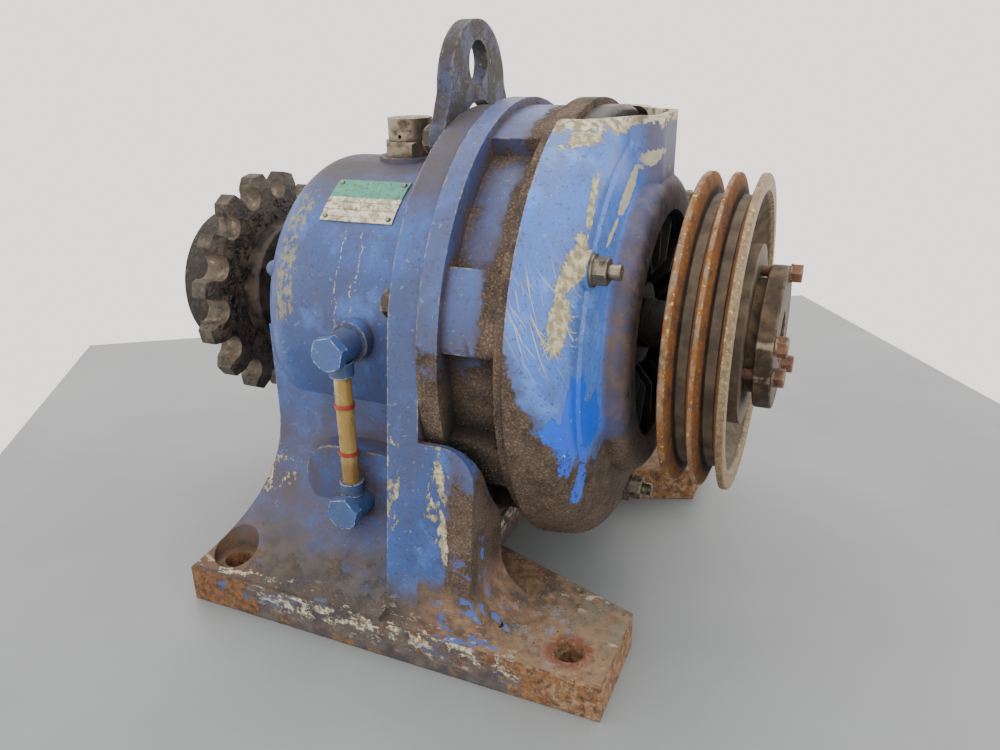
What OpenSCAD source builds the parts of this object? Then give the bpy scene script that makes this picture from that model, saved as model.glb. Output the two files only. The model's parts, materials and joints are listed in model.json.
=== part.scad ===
// Foot-mounted cycloidal speed reducer with a belt-driven input and a chain output.
// Millimetres. +X points from the output end to the input end, +Z is up.
// The origin is the centre of the foot bolt pattern, on the base plane.

/* [Shaft line and foot] */
// height of the shaft line above the base plane
shaft_h = 220; // [214:1:230]
// length of the foot along the shaft
foot_len = 354; // [344:2:370]
// width of the foot across the shaft
foot_w = 404; // [396:2:420]
// thickness of the foot plate
foot_t = 31; // [26:1:36]
// bolt spacing along the shaft
bolt_dx = 293; // [284:1:300]
// bolt spacing across the shaft
bolt_dy = 356; // [348:2:364]
// diameter of the foundation bolt holes
bolt_d = 22; // [18:1:26]

/* [Foot casing] */
// outer radius of the casing barrel
barrel_r = 123; // [118:1:128]
// length of the casing barrel, end face to the flange
barrel_len = 148; // [142:1:156]
// radius of the rounded shoulder at the output end
shoulder_r = 30; // [20:1:36]
// outer radius of the casing flange
flange_r = 165; // [162:1:168]
// thickness of the casing flange
flange_t = 25; // [22:1:30]
// half width of the flange where it meets the foot plate
flange_base = 191; // [186:1:194]
// how far the side gussets reach past the flange face
gusset_len = 44; // [36:1:52]
// radius of the concave sweep at the sides of the pedestal
side_sweep_r = 120; // [110:2:130]

/* [Cycloid stage] */
// number of ring pins
ring_count = 12; // [12:1:12]
// radius of the ring pin circle
ring_pin_circle = 130; // [129:0.5:131]
// diameter of a ring pin
ring_pin_d = 16; // [14:1:17]
// outer radius of a ring roller
ring_roller_r = 12; // [11.5:0.25:12.5]
// offset of each disc from the shaft line
eccentricity = 6; // [5:0.25:6.5]
// thickness of a cycloid disc
disc_t = 23; // [20:0.5:24]
// number of output pins
out_pin_count = 8; // [6:1:9]
// radius of the output pin circle
out_pin_circle = 80; // [79:0.5:82]
// diameter of an output pin
out_pin_d = 20; // [18:1:22]
// outer radius of an output pin roller
out_roller_r = 15; // [14:0.5:15.5]

/* [Ring gear housing and end shield] */
// outer radius of the two housing flanges
housing_r = 171; // [169:0.5:173]
// length of the housing along the shaft
housing_len = 73; // [72:1:78]
// radius of the bosses between the flanges
boss_r = 165; // [163:0.5:167]
// radius at the floor of the cast pockets
pocket_r = 151; // [150:0.5:155]
// radius of the end shield
shield_r = 166; // [163:0.5:168]
// thickness of the end shield plate
shield_t = 17; // [15:1:20]
// radius of the tie bolt circle
tie_circle = 153.5; // [152.5:0.5:154]
// thread diameter of the tie bolts
tie_d = 12; // [10:1:12]

/* [Fan cover and fan] */
// outer radius of the fan cover at its open rear rim
cover_r = 177.5; // [176:0.5:180]
// wall of the fan cover
cover_wall = 5; // [4:0.5:6]
// radius of the air opening
cover_mouth_r = 91; // [86:1:94]
// height of the flat cut above the shaft line
cover_cut = 161; // [156:1:164]
// radius of the circle of cover studs
cover_stud_circle = 150; // [149:0.5:152]
// tip radius of the fan
fan_r = 128; // [118:1:134]
// number of fan blades
fan_blades = 14; // [10:1:18]

/* [Shafts and bearings] */
// diameter of the output shaft
out_shaft_d = 80; // [78:1:80]
// outside diameter of the output bearings
out_bearing_d = 140; // [138:1:142]
// width of the output bearings
out_bearing_w = 26; // [24:1:28]
// diameter of the input shaft at its bearing
in_journal_d = 45; // [44:1:46]
// outside diameter of the input bearing
in_bearing_d = 100; // [98:1:102]
// width of the input bearing
in_bearing_w = 25; // [23:1:26]
// diameter of the input shaft in the bushing
in_shaft_d = 38; // [36:1:40]

/* [Chain sprocket] */
// number of sprocket teeth
sprocket_teeth = 15; // [14:1:17]
// pitch of the chain
chain_pitch = 38.1; // [36:0.5:39]
// width of the sprocket teeth
tooth_w = 24; // [20:1:26]
// radius of the sprocket hub
hub_r = 67; // [62:1:70]
// length of the sprocket hub beyond the teeth
hub_len = 41; // [34:1:46]

/* [Belt sheave and bushing] */
// outside radius of the sheave
sheave_r = 119.5; // [114:0.5:124]
// spacing of the belt grooves
groove_pitch = 19.05; // [18:0.25:20]
// number of belt grooves
groove_count = 2; // [2:1:2]
// depth of a belt groove
groove_depth = 16; // [13:0.5:17]
// radius of the bushing flange
bush_r = 54; // [52:0.5:58]
// thickness of the bushing flange
bush_t = 13; // [11:0.5:15]

/* [Fittings] */
// radius of the round top of the lifting lug
lug_r = 50; // [46:1:52]
// width across flats of the breather hexagon
breather_af = 41; // [36:1:44]
// height of the sight gauge, fitting to fitting
gauge_h = 134; // [126:2:138]
// width of the nameplate along the shaft
plate_w = 65; // [50:1:70]

/* [Output] */
// sub-part to draw

/* [Hidden] */
$fn = 64;
fit = 0.05; // running fit between bodies
thread_gap = 0.2; // clearance of a bolt in its hole

// stations along the shaft
flange_x = 5.3;
barrel_x = flange_x - barrel_len;
casing_end = flange_x + flange_t;
gasket_t = 0.8;
housing_x = casing_end + gasket_t;
housing_end = housing_x + housing_len;
shield_x = housing_end + gasket_t;
shield_end = shield_x + shield_t;
housing_flange_t = 16;

// output shaft stations
seal_w = 12;
bearing_1_x = barrel_x + seal_w + 1;
bearing_2_x = -44;
casing_bore = out_bearing_d / 2;
out_r = out_shaft_d / 2;
oil_cavity_r = 84;
cage_cavity_r = 101;
carrier_r = out_pin_circle + out_pin_d / 2 + 5;
carrier_x = bearing_2_x + out_bearing_w + 4;
carrier_t = 26;
collar_x = -206;
sprocket_x = collar_x - tooth_w;
hub_end = sprocket_x - hub_len;
tooth_bevel_r = 12;
collar_len = 15;
collar_r = 59;
out_key_w = 22;
out_key_h = 14;
out_key_len = 60;

// cycloid stage
ring_r = ring_pin_d / 2;
disc_a_x = housing_x + 1;
disc_gap = 2.5;
disc_b_x = disc_a_x + disc_t + disc_gap;
stage_end = disc_b_x + disc_t;
housing_bore = ring_pin_circle + ring_roller_r + 0.5;
wall_x = stage_end + 1.5;
lobes = ring_count - 1;
ecc_r = 30;
disc_bore = 44;
needle_count = 10;
disc_steps = 24;
profile_gap = 0.25;
pin_hole_r = out_roller_r + eccentricity + 0.2;

// input shaft stations
pilot_x = carrier_x + 8;
pilot_len = 16;
pilot_d = 25;
pilot_wall = 6;
shaft_core_d = 36;
core_x = pilot_x + pilot_len + 0.5;
spigot_len = housing_end - wall_x - 4;
spigot_r = 99;
in_bearing_x = shield_x - 18;
in_seal_w = 10;
in_seal_r = 34;
shield_boss_r = 62;
shield_boss_x = in_bearing_x + in_bearing_w + in_seal_w + 3;
fan_x = shield_boss_x + 2;
fan_seat_d = 40;
shaft_end = 243;

// sheave and bushing stations
sheave_w = groove_count * groove_pitch + 6.4;
sheave_mid = 206.3;
sheave_x = sheave_mid - sheave_w / 2;
sheave_end = sheave_x + sheave_w;
sheave_hub_r = 68.5;
rim_wall = 6;
web_t = 12;
bush_x = sheave_end + 8.4;
bush_end = bush_x + bush_t;
barrel_small = 39;
barrel_large = 43;
screw_circle = 48.5;
screw_r = 4;
screw_depth = 16;
screw_angles = [77, 197, 317];
jack_angle = 169;

// bolts and pockets round the housing, seen from the input end, 0 = far side
pockets = [[134.7, 37.4], [185.5, 23.5], [226.5, 27]];
tie_angles = [110, 163.6, 205.3, 252];
cover_angles = [30, 150, 270];

// fan cover
cover_x = 97;
cover_front = 139;
mouth_x = 162;
lip_r = 14;
ridge_r = 119;
hood_x = 158;
hood_half = 32;
rear_half = 84;
nut_seat = cover_front + 2;
pad_r = 13;
pad_back = cover_front - 8;
stud_seat = 12;
stud_r = 5;
sleeve_r = 8;
stud_end = 160;

// sight gauge
gauge_x = -47;
gauge_top = 223.5;
gauge_low = gauge_top - gauge_h;
gauge_y = -146;
banjo_r = 12.5;
gauge_hex_af = 25;
gauge_stud_r = 5;
tube_r = 7;
ferrule_r = 9.5;
gauge_hex_seat = ferrule_r + 0.5;
ferrule_h = 7;
pad_y = gauge_y + banjo_r + 0.5;

// breather
breather_x = -58.5;
breather_seat = shaft_h + barrel_r + 2;
breather_hex_h = 12;
cap_r = 18.5;
cap_h = 18;

// drain plug on the far side
drain_x = -72;
drain_y = foot_w / 2 - 44;
drain_z = 74;

// nameplate, degrees round the barrel
plate_mid = 126.5;
plate_span = 20;
plate_x = -94;
plate_t = 1;
plate_r = barrel_r + plate_t + 0.2;

// lifting lug
lug_t = 12;
lug_z = shaft_h + 178;
lug_x = flange_x - lug_t;

// tie bolts; the lowest pair are studs, since the pedestal leaves no room for heads
tie_af = 19;
tie_head_h = 7.5;
tie_nut_h = 8;
washer_t = 2;
washer_r = 11;
stud_angle = tie_angles[3];
tie_seat_x = shield_end - 5;
tie_end = tie_seat_x + washer_t + tie_nut_h + 1;

function tie_start(a) = a == stud_angle ? flange_x + 5 : flange_x;

paint = [0.33, 0.46, 0.68];
iron = [0.32, 0.30, 0.29];
steel = [0.62, 0.62, 0.62];
dark_steel = [0.22, 0.20, 0.19];
rust = [0.55, 0.36, 0.22];
rubber = [0.10, 0.10, 0.10];
bronze = [0.66, 0.50, 0.28];

// ---------- helpers ----------

// a solid of revolution about the shaft line; the profile has [radius, x]
module turned() {
    translate([0, 0, shaft_h]) rotate([0, 90, 0]) rotate_extrude() children();
}

// a round bar along the shaft line
module bar_x(x, len, r) {
    translate([x, 0, shaft_h]) rotate([0, 90, 0]) cylinder(h = len, r = r, $fn = 96);
}

// a ring along the shaft line
module ring_x(x, len, r_out, r_in) {
    difference() {
        bar_x(x, len, r_out);
        bar_x(x - 1, len + 2, r_in);
    }
}

// places children at a radius and an angle about the shaft line, their +Z along +X
module polar(x, r, a, lift = 0) {
    translate([0, 0, shaft_h + lift]) rotate([a, 0, 0]) translate([x, r, 0]) rotate([0, 90, 0])
        children();
}

// a slab cut from an outline drawn in Y and Z, reaching from x over len
module slab_x(x, len) {
    translate([x, 0, 0]) rotate([90, 0, 90]) linear_extrude(len) children();
}

// a slab cut from an outline drawn in X and Z, centred across the shaft
module slab_y(width) {
    translate([0, width / 2, 0]) rotate([90, 0, 0]) linear_extrude(width) children();
}

module both_sides() {
    children();
    mirror([0, 1, 0]) children();
}

// a hexagon prism with the corners turned off at one end
module hex_head(af, h, chamfer = 1.2) {
    corner = af / 2 / cos(30);
    intersection() {
        cylinder(h = h, r = corner, $fn = 6);
        rotate_extrude() polygon([[0, 0], [corner + 1, 0], [corner + 1, h - chamfer - 0.6],
            [corner - chamfer, h], [0, h]]);
    }
}

// balls between two races
module ball_row(x, r, ball, n) {
    for (i = [0:n - 1]) polar(x, r, i * 360 / n) sphere(r = ball, $fn = 24);
}

// a race with a ball groove; groove is the ball radius with clearance
module race(x, w, r_out, r_in, r_track, groove) {
    turned() difference() {
        translate([r_in, x]) square([r_out - r_in, w]);
        translate([r_track, x + w / 2]) circle(r = groove);
    }
}

// ---------- foot casing ----------

// tangent angle of the sloping flange side
base_drop = shaft_h - foot_t;
base_reach = sqrt(flange_base * flange_base + base_drop * base_drop);
side_angle = acos(flange_r / base_reach) - atan2(base_drop, flange_base);

module flange_outline() {
    translate([0, shaft_h]) circle(r = flange_r, $fn = 96);
    polygon([[-flange_base, foot_t - 5], [-flange_r * cos(side_angle),
        shaft_h + flange_r * sin(side_angle)], [flange_r * cos(side_angle),
        shaft_h + flange_r * sin(side_angle)], [flange_base, foot_t - 5]]);
}

// side view of the pedestal: straight from the barrel, then swept out to the foot
neck_half = barrel_r - 13;
sweep_z = foot_t + side_sweep_r;

module pedestal_front_outline() {
    difference() {
        translate([-foot_w / 2, 0]) square([foot_w, shaft_h]);
        for (s = [-1, 1]) {
            translate([s * (neck_half + side_sweep_r), sweep_z]) circle(r = side_sweep_r, $fn = 96);
            translate([s > 0 ? neck_half : -foot_w, sweep_z]) square([foot_w - neck_half, shaft_h]);
        }
    }
}

end_sweep_r = 140;

// cast hollow under the pedestal
core_half = 112;
core_wall = 24;
core_top = 66;

module pedestal_side_outline() {
    top = 125;
    difference() {
        translate([-foot_len / 2, 0]) square([foot_len / 2 + flange_x, shaft_h]);
        translate([barrel_x + 3 - end_sweep_r, top]) circle(r = end_sweep_r, $fn = 96);
        translate([-foot_len, top]) square([foot_len + barrel_x + 3, shaft_h]);
    }
}

// side view of the gusset beyond the flange
module gusset_outline() {
    tip = casing_end + gusset_len;
    top = shaft_h - 49;
    round_r = 26;
    foot_round = 34;
    translate([casing_end - 1, foot_t - 1]) square([gusset_len + 1 - round_r, top - foot_t + 1]);
    translate([casing_end - 1, foot_t - 1])
        square([gusset_len + 1, top - round_r - foot_t + 1]);
    translate([tip - round_r, top - round_r]) circle(r = round_r);
    difference() {
        translate([tip - 1, foot_t - 1]) square([foot_round + 1, foot_round + 1]);
        translate([tip + foot_round, foot_t + foot_round]) circle(r = foot_round);
    }
}

module foot_plate() {
    pad_inner = 66;
    pad_outer = 120;
    linear_extrude(foot_t) difference() {
        square([foot_len, foot_w], center = true);
        polygon([[casing_end + 2, -pad_inner], [casing_end + 2, pad_inner],
            [foot_len / 2 + 1, pad_outer], [foot_len / 2 + 1, -pad_outer]]);
    }
}

module gauge_boss(z, y_out) {
    translate([gauge_x, y_out, z]) rotate([-90, 0, 0]) cylinder(h = 60, r = 16);
    translate([gauge_x, y_out + 14, z - 15]) cube([flange_x - gauge_x + 1, 40, 30]);
}

module casing_solid() {
    turned() difference() {
        union() {
            translate([0, barrel_x + shoulder_r]) square([barrel_r, barrel_len - shoulder_r]);
            translate([0, barrel_x]) square([barrel_r - shoulder_r, barrel_len]);
            translate([barrel_r - shoulder_r, barrel_x + shoulder_r]) circle(r = shoulder_r);
        }
        translate([-barrel_r, barrel_x - 1]) square([barrel_r, barrel_len + 2]);
    }
    slab_x(flange_x, flange_t) flange_outline();
    intersection() {
        slab_x(-foot_len / 2, foot_len / 2 + flange_x) pedestal_front_outline();
        slab_y(foot_w) pedestal_side_outline();
    }
    difference() {
        intersection() {
            slab_y(2 * flange_base) gusset_outline();
            slab_x(casing_end - 1, foot_len) flange_outline();
        }
        translate([casing_end + 0.2, -flange_base + 62, -1])
            cube([foot_len, 2 * (flange_base - 62), shaft_h]);
        bar_x(casing_end, foot_len, housing_r + 4);
    }
    foot_plate();
    gauge_boss(gauge_top, gauge_y + banjo_r);
    gauge_boss(gauge_low, gauge_y + banjo_r);
    translate([gauge_x - 22, pad_y, gauge_low - 20]) cube([flange_x - gauge_x + 24, 40, 62]);
    translate([gauge_x - 22, pad_y, gauge_low + 11]) rotate([-90, 0, 0])
        cylinder(h = 40, r = 31);
    translate([breather_x, 0, shaft_h]) cylinder(h = barrel_r + 2, r = 27);
    translate([drain_x, drain_y - 60, drain_z]) rotate([-90, 0, 0]) cylinder(h = 60, r = 17);
    polar(barrel_x + 9, barrel_r - 12, 156) sphere(r = 7);
    polar(barrel_x - 4, 0, 0) cylinder(h = 20, r = out_r + 27);
}

module foot_casing() {
    color(paint) difference() {
        casing_solid();
        bar_x(barrel_x - 10, seal_w + 11, out_r + 15);
        bar_x(bearing_1_x, out_bearing_w, casing_bore);
        bar_x(bearing_1_x + out_bearing_w - 1, bearing_2_x - bearing_1_x - out_bearing_w + 2,
            casing_bore - 5);
        turned() translate([0, bearing_1_x + out_bearing_w + 8])
            square([oil_cavity_r, bearing_2_x - bearing_1_x - out_bearing_w - 16]);
        bar_x(bearing_2_x, out_bearing_w + 1, casing_bore);
        bar_x(bearing_2_x + out_bearing_w, casing_end - 11 - bearing_2_x - out_bearing_w,
            cage_cavity_r);
        bar_x(casing_end - 12, 20, ring_pin_circle - ring_r - 6);
        for (i = [0:ring_count - 1]) polar(casing_end - 9, ring_pin_circle, i * 360 / ring_count)
            cylinder(h = 12, r = ring_r);
        both_sides() for (a = tie_angles) polar(tie_start(a) - 1, tie_circle, a)
            cylinder(h = casing_end - tie_start(a) + 2, r = tie_d / 2 + thread_gap);
        for (sx = [-1, 1], sy = [-1, 1]) translate([sx * bolt_dx / 2, sy * bolt_dy / 2, -1]) {
            cylinder(h = foot_t + 2, r = bolt_d / 2);
            translate([0, 0, foot_t + 1]) cylinder(h = 60, r = bolt_d / 2 + 8);
        }
        both_sides() translate([casing_end + 60, -bolt_dy / 2 + 4, foot_t - 16])
            cylinder(h = 20, r = 4);
        slab_y(2 * core_half) polygon([[-foot_len / 2 + core_wall, -1],
            [barrel_x + core_wall, core_top], [flange_x, core_top], [flange_x, -1]]);
        for (z = [gauge_top, gauge_low]) translate([gauge_x, gauge_y, z]) rotate([-90, 0, 0])
            cylinder(h = 80, r = gauge_stud_r + thread_gap);
        translate([gauge_x, gauge_y + banjo_r, gauge_low]) rotate([90, 0, 0])
            cylinder(h = 60, r = banjo_r + 1);
        translate([breather_x, 0, shaft_h + oil_cavity_r - 5]) cylinder(h = 80, r = 10);
        translate([breather_x, 0, breather_seat - 14]) cylinder(h = 20, r = 13);
        translate([drain_x, drain_y - 40, drain_z]) rotate([-90, 0, 0]) cylinder(h = 60, r = 9);
    }
}

module casing_gasket() {
    color(rubber) difference() {
        ring_x(casing_end, gasket_t, flange_r - 1, housing_bore + 1);
        both_sides() for (a = tie_angles) polar(casing_end - 1, tie_circle, a)
            cylinder(h = 3, r = tie_d / 2 + thread_gap);
    }
}

// ---------- ring gear housing ----------

module housing_profile() {
    difference() {
        union() {
            translate([0, housing_x]) square([housing_r, housing_flange_t]);
            translate([0, housing_x]) square([boss_r, housing_len]);
            translate([0, housing_end - housing_flange_t]) square([housing_r, housing_flange_t]);
        }
        translate([-1, housing_x - 1]) square([housing_bore + 1, wall_x - housing_x + 1]);
        translate([-1, housing_x - 1]) square([spigot_r + 1.1, housing_len + 2]);
    }
}

module pocket(mid, span) {
    steps = 6;
    inner = pocket_r;
    outer = housing_r + 10;
    rounding = 5;
    width = housing_len - 2 * housing_flange_t;
    translate([housing_x + housing_flange_t, 0, shaft_h]) rotate([mid, 0, 0])
        rotate([0, 90, 0]) rotate([0, 0, 90]) difference() {
            linear_extrude(width) polygon(concat(
                [for (i = [0:steps]) let (a = span * (i / steps - 0.5)) outer * [cos(a), sin(a)]],
                [[0, 0]]));
            translate([0, 0, -1]) cylinder(h = width + 2, r = inner, $fn = 96);
        }
}

module ring_gear_housing() {
    color(paint) difference() {
        turned() housing_profile();
        both_sides() for (p = pockets) pocket(p[0], p[1]);
        both_sides() for (a = tie_angles) polar(housing_x - 1, tie_circle, a)
            cylinder(h = housing_len + 2, r = tie_d / 2 + thread_gap);
        for (i = [0:ring_count - 1]) polar(wall_x - 1, ring_pin_circle, i * 360 / ring_count)
            cylinder(h = 13, r = ring_r);
    }
}

module shield_gasket() {
    color(rubber) difference() {
        ring_x(housing_end, gasket_t, shield_r - 1, spigot_r + 4);
        both_sides() for (a = tie_angles) polar(housing_end - 1, tie_circle, a)
            cylinder(h = 3, r = tie_d / 2 + thread_gap);
    }
}

module end_shield() {
    bearing_r = in_bearing_d / 2;
    color(iron) difference() {
        turned() difference() {
            union() {
                translate([0, shield_x]) square([shield_r, shield_t - 4]);
                translate([0, shield_x]) square([shield_r - 4, shield_t]);
                translate([shield_r - 4, shield_end - 4]) circle(r = 4);
                translate([0, housing_end - spigot_len]) square([spigot_r, spigot_len + 1]);
                translate([0, shield_x]) square([shield_boss_r, shield_boss_x - shield_x]);
            }
            translate([-10, shield_x - 20]) square([10, 60]);
            translate([-1, housing_end - 30])
                square([bearing_r + 1, in_bearing_x + in_bearing_w - housing_end + 30]);
            translate([-1, shield_x]) square([in_journal_d / 2 + 4, 60]);
            translate([-1, shield_boss_x - in_seal_w]) square([in_seal_r + 1, 20]);
        }
        both_sides() for (a = tie_angles) {
            polar(shield_x - 1, tie_circle, a)
                cylinder(h = shield_t + 2, r = tie_d / 2 + thread_gap);
            polar(tie_seat_x, tie_circle, a) cylinder(h = shield_t, r = washer_r + 2);
        }
        for (a = cover_angles) polar(shield_end - stud_seat, cover_stud_circle, a)
            cylinder(h = stud_seat + 1, r = stud_r);
    }
}

module ring_pins() {
    color(steel) for (i = [0:ring_count - 1])
        polar(casing_end - 9, ring_pin_circle, i * 360 / ring_count)
            cylinder(h = wall_x + 20 - casing_end, r = ring_r);
}

module ring_rollers() {
    color(bronze) for (i = [0:ring_count - 1])
        polar(disc_a_x, ring_pin_circle, i * 360 / ring_count) difference() {
            cylinder(h = stage_end - disc_a_x, r = ring_roller_r);
            translate([0, 0, -1]) cylinder(h = stage_end - disc_a_x + 2, r = ring_r + fit);
        }
}

module tie_bolts() {
    color(dark_steel) both_sides() for (a = tie_angles) {
        under = a == tie_angles[0] ? lug_x : tie_start(a);
        if (a != stud_angle) polar(under - tie_head_h, tie_circle, a) mirror([0, 0, 1])
            translate([0, 0, -tie_head_h]) hex_head(tie_af, tie_head_h);
        polar(under, tie_circle, a) cylinder(h = tie_end - under, r = tie_d / 2);
    }
}

module tie_nuts() {
    color(dark_steel) both_sides() for (a = tie_angles) polar(tie_seat_x, tie_circle, a)
        difference() {
            union() {
                cylinder(h = washer_t, r = washer_r);
                translate([0, 0, washer_t]) hex_head(tie_af, tie_nut_h);
            }
            translate([0, 0, -1]) cylinder(h = 20, r = tie_d / 2);
        }
}

// ---------- seals and races ----------

module output_seal() {
    r_out = out_r + 15;
    color(rubber) turned() difference() {
        translate([out_r + fit, barrel_x]) square([r_out - out_r - fit, seal_w]);
        translate([out_r + 4, barrel_x - 1]) square([7, seal_w - 3]);
    }
}

module input_seal() {
    r_in = in_journal_d / 2 + fit;
    color(rubber) turned() difference() {
        translate([r_in, shield_boss_x - in_seal_w]) square([in_seal_r - r_in, in_seal_w]);
        translate([r_in + 3, shield_boss_x - in_seal_w + 3]) square([5, in_seal_w]);
    }
}

out_track = (out_r + casing_bore) / 2;
out_ball = 11;
in_track = (in_journal_d + in_bearing_d) / 4;
in_ball = 8.5;
race_wall = 8;

module output_outer_race_front() {
    color(steel) race(bearing_1_x, out_bearing_w, casing_bore, casing_bore - race_wall,
        out_track, out_ball + fit);
}

module output_outer_race_rear() {
    color(steel) race(bearing_2_x, out_bearing_w, casing_bore, casing_bore - race_wall,
        out_track, out_ball + fit);
}

module output_inner_race_front() {
    color(steel) race(bearing_1_x, out_bearing_w, out_r + race_wall, out_r, out_track,
        out_ball + fit);
}

module output_inner_race_rear() {
    color(steel) race(bearing_2_x, out_bearing_w, out_r + race_wall, out_r, out_track,
        out_ball + fit);
}

module input_outer_race() {
    color(steel) race(in_bearing_x, in_bearing_w, in_bearing_d / 2, in_bearing_d / 2 - race_wall,
        in_track, in_ball + fit);
}

module input_inner_race() {
    color(steel) race(in_bearing_x, in_bearing_w, in_journal_d / 2 + race_wall - 1,
        in_journal_d / 2, in_track, in_ball + fit);
}

// balls with a cage ring on each side of them
module caged_balls(x, w, r, ball, n) {
    cage_t = 1.5;
    cage_half = 3;
    beside = ball + 0.2;
    ball_row(x + w / 2, r, ball, n);
    for (side = [-beside - cage_t, beside])
        ring_x(x + w / 2 + side, cage_t, r + cage_half, r - cage_half);
}

module front_ball_set() {
    color(steel) caged_balls(bearing_1_x, out_bearing_w, out_track, out_ball, 10);
}

module rear_ball_set() {
    color(steel) caged_balls(bearing_2_x, out_bearing_w, out_track, out_ball, 10);
}

module input_ball_set() {
    color(steel) caged_balls(in_bearing_x, in_bearing_w, in_track, in_ball, 9);
}

// ---------- fittings on the casing ----------

module lifting_lug() {
    leg_r = 14;
    leg_y = tie_circle * cos(tie_angles[0]);
    leg_z = shaft_h + tie_circle * sin(tie_angles[0]);
    color(dark_steel) difference() {
        slab_x(lug_x, lug_t) difference() {
            union() {
                translate([0, lug_z]) circle(r = lug_r);
                polygon([[-lug_r, lug_z], [leg_y - leg_r, leg_z], [leg_r - leg_y, leg_z],
                    [lug_r, lug_z]]);
                for (s = [-1, 1]) translate([s * leg_y, leg_z]) circle(r = leg_r);
            }
            translate([0, lug_z + 18]) circle(r = 17);
            translate([0, lug_z - 46]) circle(r = 37);
        }
        both_sides() polar(lug_x - 1, tie_circle, tie_angles[0])
            cylinder(h = lug_t + 2, r = tie_d / 2 + thread_gap);
    }
}

module breather_plug() {
    color(steel) translate([breather_x, 0, breather_seat]) difference() {
        union() {
            hex_head(breather_af, breather_hex_h, 2);
            translate([0, 0, -13]) cylinder(h = 14, r = 13);
        }
        translate([0, 0, -20]) cylinder(h = 60, r = 5);
    }
}

module breather_cap() {
    color(steel) translate([breather_x, 0, breather_seat + breather_hex_h]) difference() {
        cylinder(h = cap_h, r = cap_r);
        translate([0, 0, -1]) cylinder(h = cap_h - 4, r = 8);
        for (a = [0:90:270]) rotate([0, 0, a]) translate([0, 0, 4]) rotate([0, 90, 0])
            cylinder(h = 30, r = 1.5);
    }
}

// a banjo fitting: hexagon head outside, eye round the tube line, stud into the casing
module gauge_fitting(z) {
    translate([gauge_x, gauge_y, z]) rotate([90, 0, 0]) {
        translate([0, 0, -banjo_r]) cylinder(h = banjo_r + gauge_hex_seat, r = banjo_r);
        translate([0, 0, gauge_hex_seat]) rotate([0, 0, 15]) hex_head(gauge_hex_af, 8, 1.5);
        translate([0, 0, -banjo_r - 22]) cylinder(h = 23, r = gauge_stud_r);
    }
}

module gauge_top_fitting() {
    color(paint) gauge_fitting(gauge_top);
}

module gauge_low_fitting() {
    color(paint) gauge_fitting(gauge_low);
}

tube_low = gauge_low + banjo_r + 0.5;
tube_top = gauge_top - banjo_r - 0.5;

module gauge_ferrules() {
    color(paint) for (z = [tube_low, tube_top - ferrule_h])
        translate([gauge_x, gauge_y, z]) difference() {
            translate([0, 0, -2]) cylinder(h = ferrule_h + 4, r = ferrule_r);
            for (e = [gauge_top, gauge_low]) translate([0, 30, e - z]) rotate([90, 0, 0])
                cylinder(h = 60, r = banjo_r);
            translate([0, 0, -3]) cylinder(h = ferrule_h + 6, r = tube_r);
        }
}

module gauge_tube() {
    color([0.75, 0.65, 0.40]) translate([gauge_x, gauge_y, tube_low]) difference() {
        cylinder(h = tube_top - tube_low, r = tube_r);
        translate([0, 0, -1]) cylinder(h = gauge_h, r = tube_r - 2);
    }
}

module gauge_marks() {
    mark_low = 46;
    mark_high = 86;
    color([0.6, 0.2, 0.15]) for (h = [mark_low, mark_high])
        translate([gauge_x, gauge_y, gauge_low + h]) difference() {
            cylinder(h = 3, r = tube_r + 1);
            translate([0, 0, -1]) cylinder(h = 5, r = tube_r);
        }
}

module nameplate() {
    color(steel) intersection() {
        ring_x(plate_x, plate_w, plate_r, plate_r - plate_t);
        translate([plate_x - 1, 0, shaft_h]) rotate([plate_mid, 0, 0]) rotate([90, 0, 90])
            linear_extrude(plate_w + 2) polygon([[0, 0],
                200 * [cos(plate_span / 2), sin(plate_span / 2)],
                200 * [cos(plate_span / 2), -sin(plate_span / 2)]]);
    }
}

module nameplate_rivets() {
    inset = 4;
    swing = plate_span / 2 - inset / barrel_r * 180 / PI;
    color(steel) for (x = [plate_x + inset, plate_x + plate_w - inset], s = [-1, 1])
        translate([0, 0, shaft_h]) rotate([plate_mid + s * swing, 0, 0])
            translate([x, plate_r, 0]) difference() {
                sphere(r = 2.2);
                translate([-5, -10, -5]) cube([10, 10, 10]);
            }
}

module jack_screws() {
    color(dark_steel) both_sides() translate([casing_end + 60, -bolt_dy / 2 + 4, foot_t - 16])
        difference() {
            cylinder(h = 14, r = 4);
            translate([0, 0, 9]) cylinder(h = 10, r = 2.3, $fn = 6);
        }
}

module drain_plug() {
    color(dark_steel) translate([drain_x, drain_y, drain_z]) rotate([-90, 0, 0]) {
        hex_head(22, 9, 1.5);
        translate([0, 0, -20]) cylinder(h = 21, r = 9);
    }
}

// ---------- fan cover ----------

// half section of the cover's outside, [radius, x]
module cover_section(inset) {
    front = cover_front - inset;
    difference() {
        union() {
            polygon([[0, cover_x], [cover_r - inset, cover_x], [cover_r - inset - 2, cover_x + 18],
                [cover_r - 22 - inset, front - 5], [cover_stud_circle - 4, front + 1],
                [ridge_r - inset, front + 6], [ridge_r - inset, front + 8],
                [cover_mouth_r, mouth_x - 10 - inset], [0, mouth_x - 10 - inset]]);
            translate([cover_r - 26, cover_x + 17]) circle(r = 24 - inset);
            translate([cover_mouth_r + lip_r, mouth_x - lip_r]) circle(r = lip_r - inset);
            translate([0, mouth_x - lip_r - inset]) square([cover_mouth_r + lip_r, lip_r]);
        }
        translate([-cover_r, cover_x - 30]) square([cover_r, 120]);
        translate([-1, cover_x - 30]) square([2 * cover_r, 30]);
    }
}

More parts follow.
